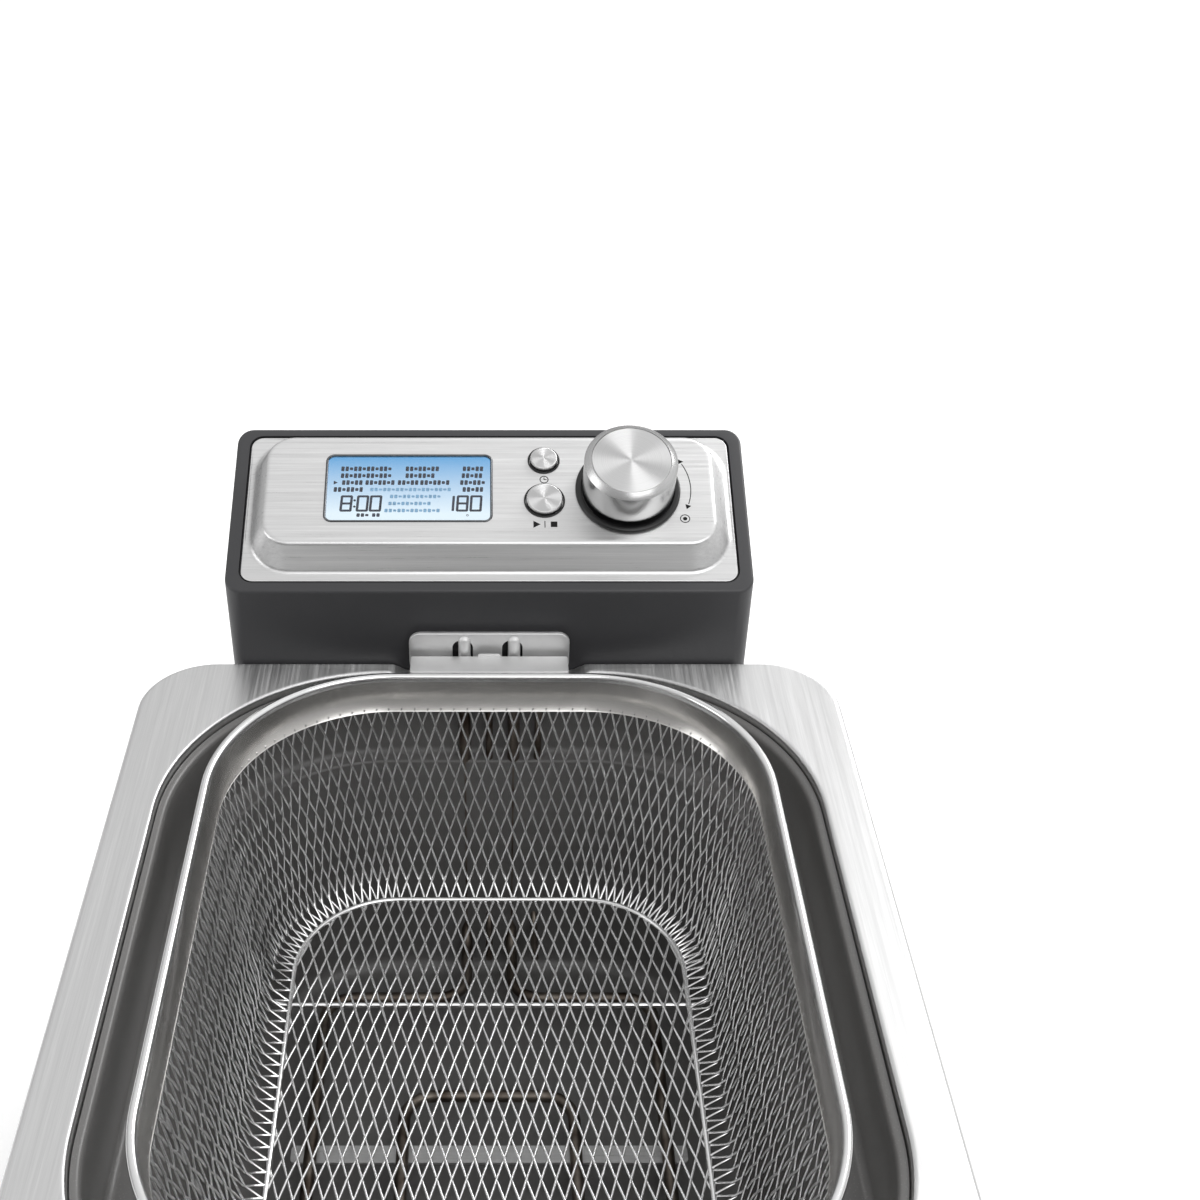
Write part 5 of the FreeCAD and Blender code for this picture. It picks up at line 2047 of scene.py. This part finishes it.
    def frame_wires(self) -> None:
        """Heavier wires that carry the net: one round the floor and two over its sides."""
        outline = self.outline
        inset = self._wall_line()[-1][0]
        level = self.layout.top - self.net_drop
        count = 160
        ring = [outline.point(outline.length * index / count, inset)[0] for index in range(count)]
        for point in ring:
            point.z = level
        loops = rods("basket_floor_wire", [ring], self.floor_wire, sides=2, closed=True)
        hoops: list[list[Vector]] = []
        for share in (-0.2, 0.2):
            y = outline.middle[1] + share * outline.depth
            hoop: list[Vector] = []
            for side in (-1, 1):
                half = [Vector((side * (outline.width / 2 - inside), y, self.layout.top + up - 0.4))
                        for inside, up in self._wall_line()]
                hoop += half if side < 0 else half[::-1]
            for point in hoop:
                point.x += math.copysign(1.6, point.x) if abs(point.x) > 60 else 0.0
                point.z -= 1.2
            hoops.append(hoop)
        bars = rods("basket_hoops", hoops, self.hoop_wire, sides=2)
        frame = join("basket_frame_wires", [loops, bars])
        dress(frame, self.finishes.wire_steel, "basket", "polished_steel", angle=60)

    def hook(self) -> None:
        """Hook plate behind the rim, with its turned-up tab and its tongue."""
        place = self.layout
        low, high = limits("hook_plate")
        front, rear = self.back + 0.4, 6.9
        plate = Blank.rounded("hook", high.x - low.x, front - rear, 0.8,
                              (0.0, place.back - (front + rear) / 2), place.top + self.rise - 1.0,
                              segments=4)
        plate.follow(walk(UP, (0.75,), (IN, 0.25)))
        made = [plate.close().done()]
        tab = Blank.rounded("tab", 9.2, 2.2, 0.9, segments=6)
        tab.follow(walk(UP, (0.8,), (IN, 0.2)))
        made.append(move(tab.close().done(), place.at(0.0, rear, self.rise + 0.1) * MM,
                         turn_about("X", 90)))
        tongue = prism(Blank.rounded("tongue", 24.0, 1.0, 0.2, segments=2), 3.0)
        made.append(move(tongue, place.at(0.0, 9.0, 4.4) * MM))
        hook = join("hook", made)
        dress(hook, self.finishes.tumbled_steel, "basket", "brushed_stainless", "hook_plate")


@dataclass
class Handle:
    """Folding basket handle: steel fork and a two-part grip."""

    layout: Layout
    finishes: Finishes
    tilt: float = 5.0
    pivot_reach: float = 298.0
    pivot_rise: float = 12.0
    arm_x: float = 11.0
    wire: float = 2.5
    grip_start: float = 42.0
    grip_end: float = 122.5
    grip_width: float = 30.0
    grip_half: float = 9.0
    grip_bend: float = 6.0
    grip_waist: float = 0.1
    eye_radius: float = 5.0
    stay_reach: float = 30.0
    stay_wire: float = 2.2

    def build(self) -> None:
        """Build and dress the fork and the grip."""
        self.fork()
        self.grip()

    def _stand(self, piece: Piece) -> Piece:
        """Put a piece drawn about the pivot, pointing to -Y, in its place."""
        place = self.layout.at(0.0, self.pivot_reach, self.pivot_rise) * MM
        return move(piece, place, turn_about("X", -self.tilt))

    def fork(self) -> None:
        """Two straight rods with an eye each, and the bar that stops them on the rim."""
        made: list[Piece] = []
        for side in (-1, 1):
            x = side * self.arm_x
            eye = Blank.disc("eye", self.eye_radius, sides=40).follow([(0.0, 4.3), (0.35, 0.35)])
            place = Vector((x - 2.4, 0.0, 0.0)) * MM
            made.append(move(eye.close().done(), place, turn_about("Y", 90)))
            arm = [Vector((x, -2.0, 0.0)), Vector((x, -self.grip_start - 30.0, 0.0))]
            made.append(rods("arm", [arm], self.wire, sides=5))
        stay = [Vector((side * self.arm_x, -self.stay_reach, 0.0)) for side in (-1, 1)]
        made.append(rods("stay", [stay], self.stay_wire, sides=4))
        fork = self._stand(join("handle_rods", made))
        dress(fork, self.finishes.wire_steel, "basket_handle", "polished_steel", "handle_fork")

    def grip(self) -> None:
        """Upper and lower grip shells, rounded, waisted and parted by a fine joint."""
        length = self.grip_end - self.grip_start
        middle = (0.0, -(self.grip_start + self.grip_end) / 2)
        for sense, name, node in ((1, "grip_top", "handle_grip_upper"),
                                  (-1, "grip_bottom", "handle_grip_lower")):
            joint = 0.15
            blank = Blank.rounded(name, self.grip_width, length, 13.0, middle, joint, segments=14)
            blank.follow(walk(UP, (self.grip_half - joint - self.grip_bend,), (IN, self.grip_bend),
                              (2.0,)))
            half = blank.close().done()
            take(half)
            if sense < 0:
                half.scale = (1.0, 1.0, -1.0)
                bpy.ops.object.transform_apply(location=True, rotation=True, scale=True)
                bpy.ops.object.mode_set(mode="EDIT")
                bpy.ops.mesh.select_all(action="SELECT")
                bpy.ops.mesh.normals_make_consistent(inside=False)
                bpy.ops.object.mode_set(mode="OBJECT")
            self._waist(half, middle[1], length)
            self._stand(half)
            dress(half, self.finishes.black_nylon, "basket_handle", "black_plastic", node)

    def _waist(self, half: Piece, middle: float, length: float) -> None:
        """Cut the shell across and draw it in at the middle, where the palm closes.

        Args:
            half: One shell of the grip.
            middle: Y of its middle.
            length: Its length.
        """
        parts = 9
        cut_across(half, 1, [middle + length * (index / parts - 0.5) for index in range(1, parts)])
        for vertex in half.data.vertices:
            share = (vertex.co.y / MM - middle) / (length / 2)
            vertex.co.x *= 1 - self.grip_waist * math.cos(share * math.pi / 2) ** 2


# ---- the CAD nodes that show as they are ----------------------------------------------------

def dress_frame(frame: dict[str, object], finishes: Finishes) -> None:
    """Give every CAD node that stays its finish, by its record slot.

    Args:
        finishes: The fryer's materials.
    """
    by_slot = {"brushed_stainless": finishes.panel_steel, "polished_steel": finishes.wire_steel,
               "zinc_screws": finishes.zinc, "grey_plastic": finishes.grey_abs,
               "black_plastic": finishes.black_nylon, "foot_rubber": finishes.rubber,
               "nonstick_coating": finishes.nonstick, "lens": finishes.window,
               "display": finishes.backlight_and_painted_reflection, "circuit_board": finishes.board,
               "spun_aluminium": finishes.side_aluminium, "element_sheath": finishes.element,
               "brass_pins": finishes.brass}
    for entry in frame["record"]["subparts"]:
        node = frame["nodes"][entry["node"]]
        node.data.materials.clear()
        node.data.materials.append(by_slot[entry["material_slot"]])


# ---- stage, light and camera ----------------------------------------------------------------

@dataclass
class Studio:
    """Pale floor, soft light from the right and above, and the camera."""

    layout: Layout
    lens: float = 47.6
    pitch_down: float = 36.56
    camera_forward: float = 516.1
    camera_rise: float = 382.1
    shift_x: float = 0.0923
    shift_y: float = 0.0527

    def build(self) -> None:
        """Set up floor, world, lights and camera."""
        self.floor()
        self.world()
        self.light("key", (1.1, 1.2, 1.25), (0.0, 0.05, 0.2), 0.8, 16.0)
        self.light("front", (0.5, -1.0, 1.5), (0.0, 0.1, 0.2), 1.2, 9.0)
        self.light("left", (-1.4, -0.2, 0.9), (0.0, 0.0, 0.2), 0.7, 3.0)
        self.camera()

    def floor(self) -> None:
        """Wide pale floor."""
        deselect_all()
        bpy.ops.mesh.primitive_plane_add(size=14.0, location=(0.0, 0.0, 0.0))
        floor = bpy.context.object
        floor.name = "floor"
        material = Ink("floor_paint_white", "#fbfbfb", 0.8).build()
        shader = material.node_tree.nodes["Principled BSDF"]
        shader.inputs["Emission Color"].default_value = (1.0, 1.0, 1.0, 1.0)
        shader.inputs["Emission Strength"].default_value = 0.2
        floor.data.materials.append(material)

    def world(self) -> None:
        """White room, darker low down in front, which gives the metal something to reflect."""
        world = bpy.data.worlds.new("studio")
        bpy.context.scene.world = world
        world.use_nodes = True
        tree = world.node_tree
        where = add_node(tree, "ShaderNodeTexCoord")
        split = add_node(tree, "ShaderNodeSeparateXYZ", {}, {"Vector": where.outputs["Generated"]})
        height = spread(tree, split.outputs["Z"], 0.4, 1.12, -0.1, 0.6)
        front = spread(tree, split.outputs["Y"], 0.55, 1.0, -1.0, -0.2)
        side = spread(tree, split.outputs["X"], 0.62, 1.0, -0.9, 0.7)
        room = add_node(tree, "ShaderNodeMath", {}, {0: height, 1: front}, operation="MULTIPLY")
        level = add_node(tree, "ShaderNodeMath", {}, {0: room.outputs[0], 1: side},
                         operation="MULTIPLY")
        back = tree.nodes["Background"]
        back.inputs["Color"].default_value = (1.0, 1.0, 1.0, 1.0)
        tree.links.new(level.outputs[0], back.inputs["Strength"])

    def light(self, name: str, place: Sequence[float], aim: Sequence[float], size: float,
              power: float) -> None:
        """Add a square soft light that faces a point.

        Args:
            name: Name of the light.
            place: Where it stands, in metres.
            aim: The point that it faces.
            size: Side of the square in metres.
            power: Power in watts.
        """
        lamp = bpy.data.lights.new(name, "AREA")
        lamp.size = size
        lamp.energy = power
        stand = bpy.data.objects.new(name, lamp)
        stand.location = place
        stand.rotation_euler = (Vector(aim) - Vector(place)).to_track_quat("-Z", "Y").to_euler()
        bpy.context.collection.objects.link(stand)

    def camera(self) -> None:
        """Camera above the front of the fryer, looking down at its panel."""
        data = bpy.data.cameras.new("view")
        data.lens = self.lens
        data.sensor_width = 36.0
        data.shift_x = self.shift_x
        data.shift_y = self.shift_y
        camera = bpy.data.objects.new("view", data)
        camera.location = self.layout.at(0.0, self.camera_forward, self.camera_rise) * MM
        camera.rotation_euler = (math.radians(90.0 - self.pitch_down), 0.0, 0.0)
        bpy.context.collection.objects.link(camera)
        bpy.context.scene.camera = camera
        bpy.context.scene.view_settings.view_transform = "Standard"


def main() -> None:
    """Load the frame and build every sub-assembly."""
    logging.basicConfig(level=logging.INFO, format="%(message)s")
    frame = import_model()
    layout = Layout.from_frame()
    finishes = Finishes()
    dress_frame(frame, finishes)
    Housing(layout, finishes).build()
    OilBowl(layout, finishes).build()
    tower = Tower(layout, finishes)
    tower.build()
    Keys(tower, finishes).build()
    Dial(tower, finishes).build()
    RearFittings(layout, finishes).build()
    Basket(layout, finishes).build()
    Handle(layout, finishes).build()
    Studio(layout).build()


if __name__ == "__main__":
    main()
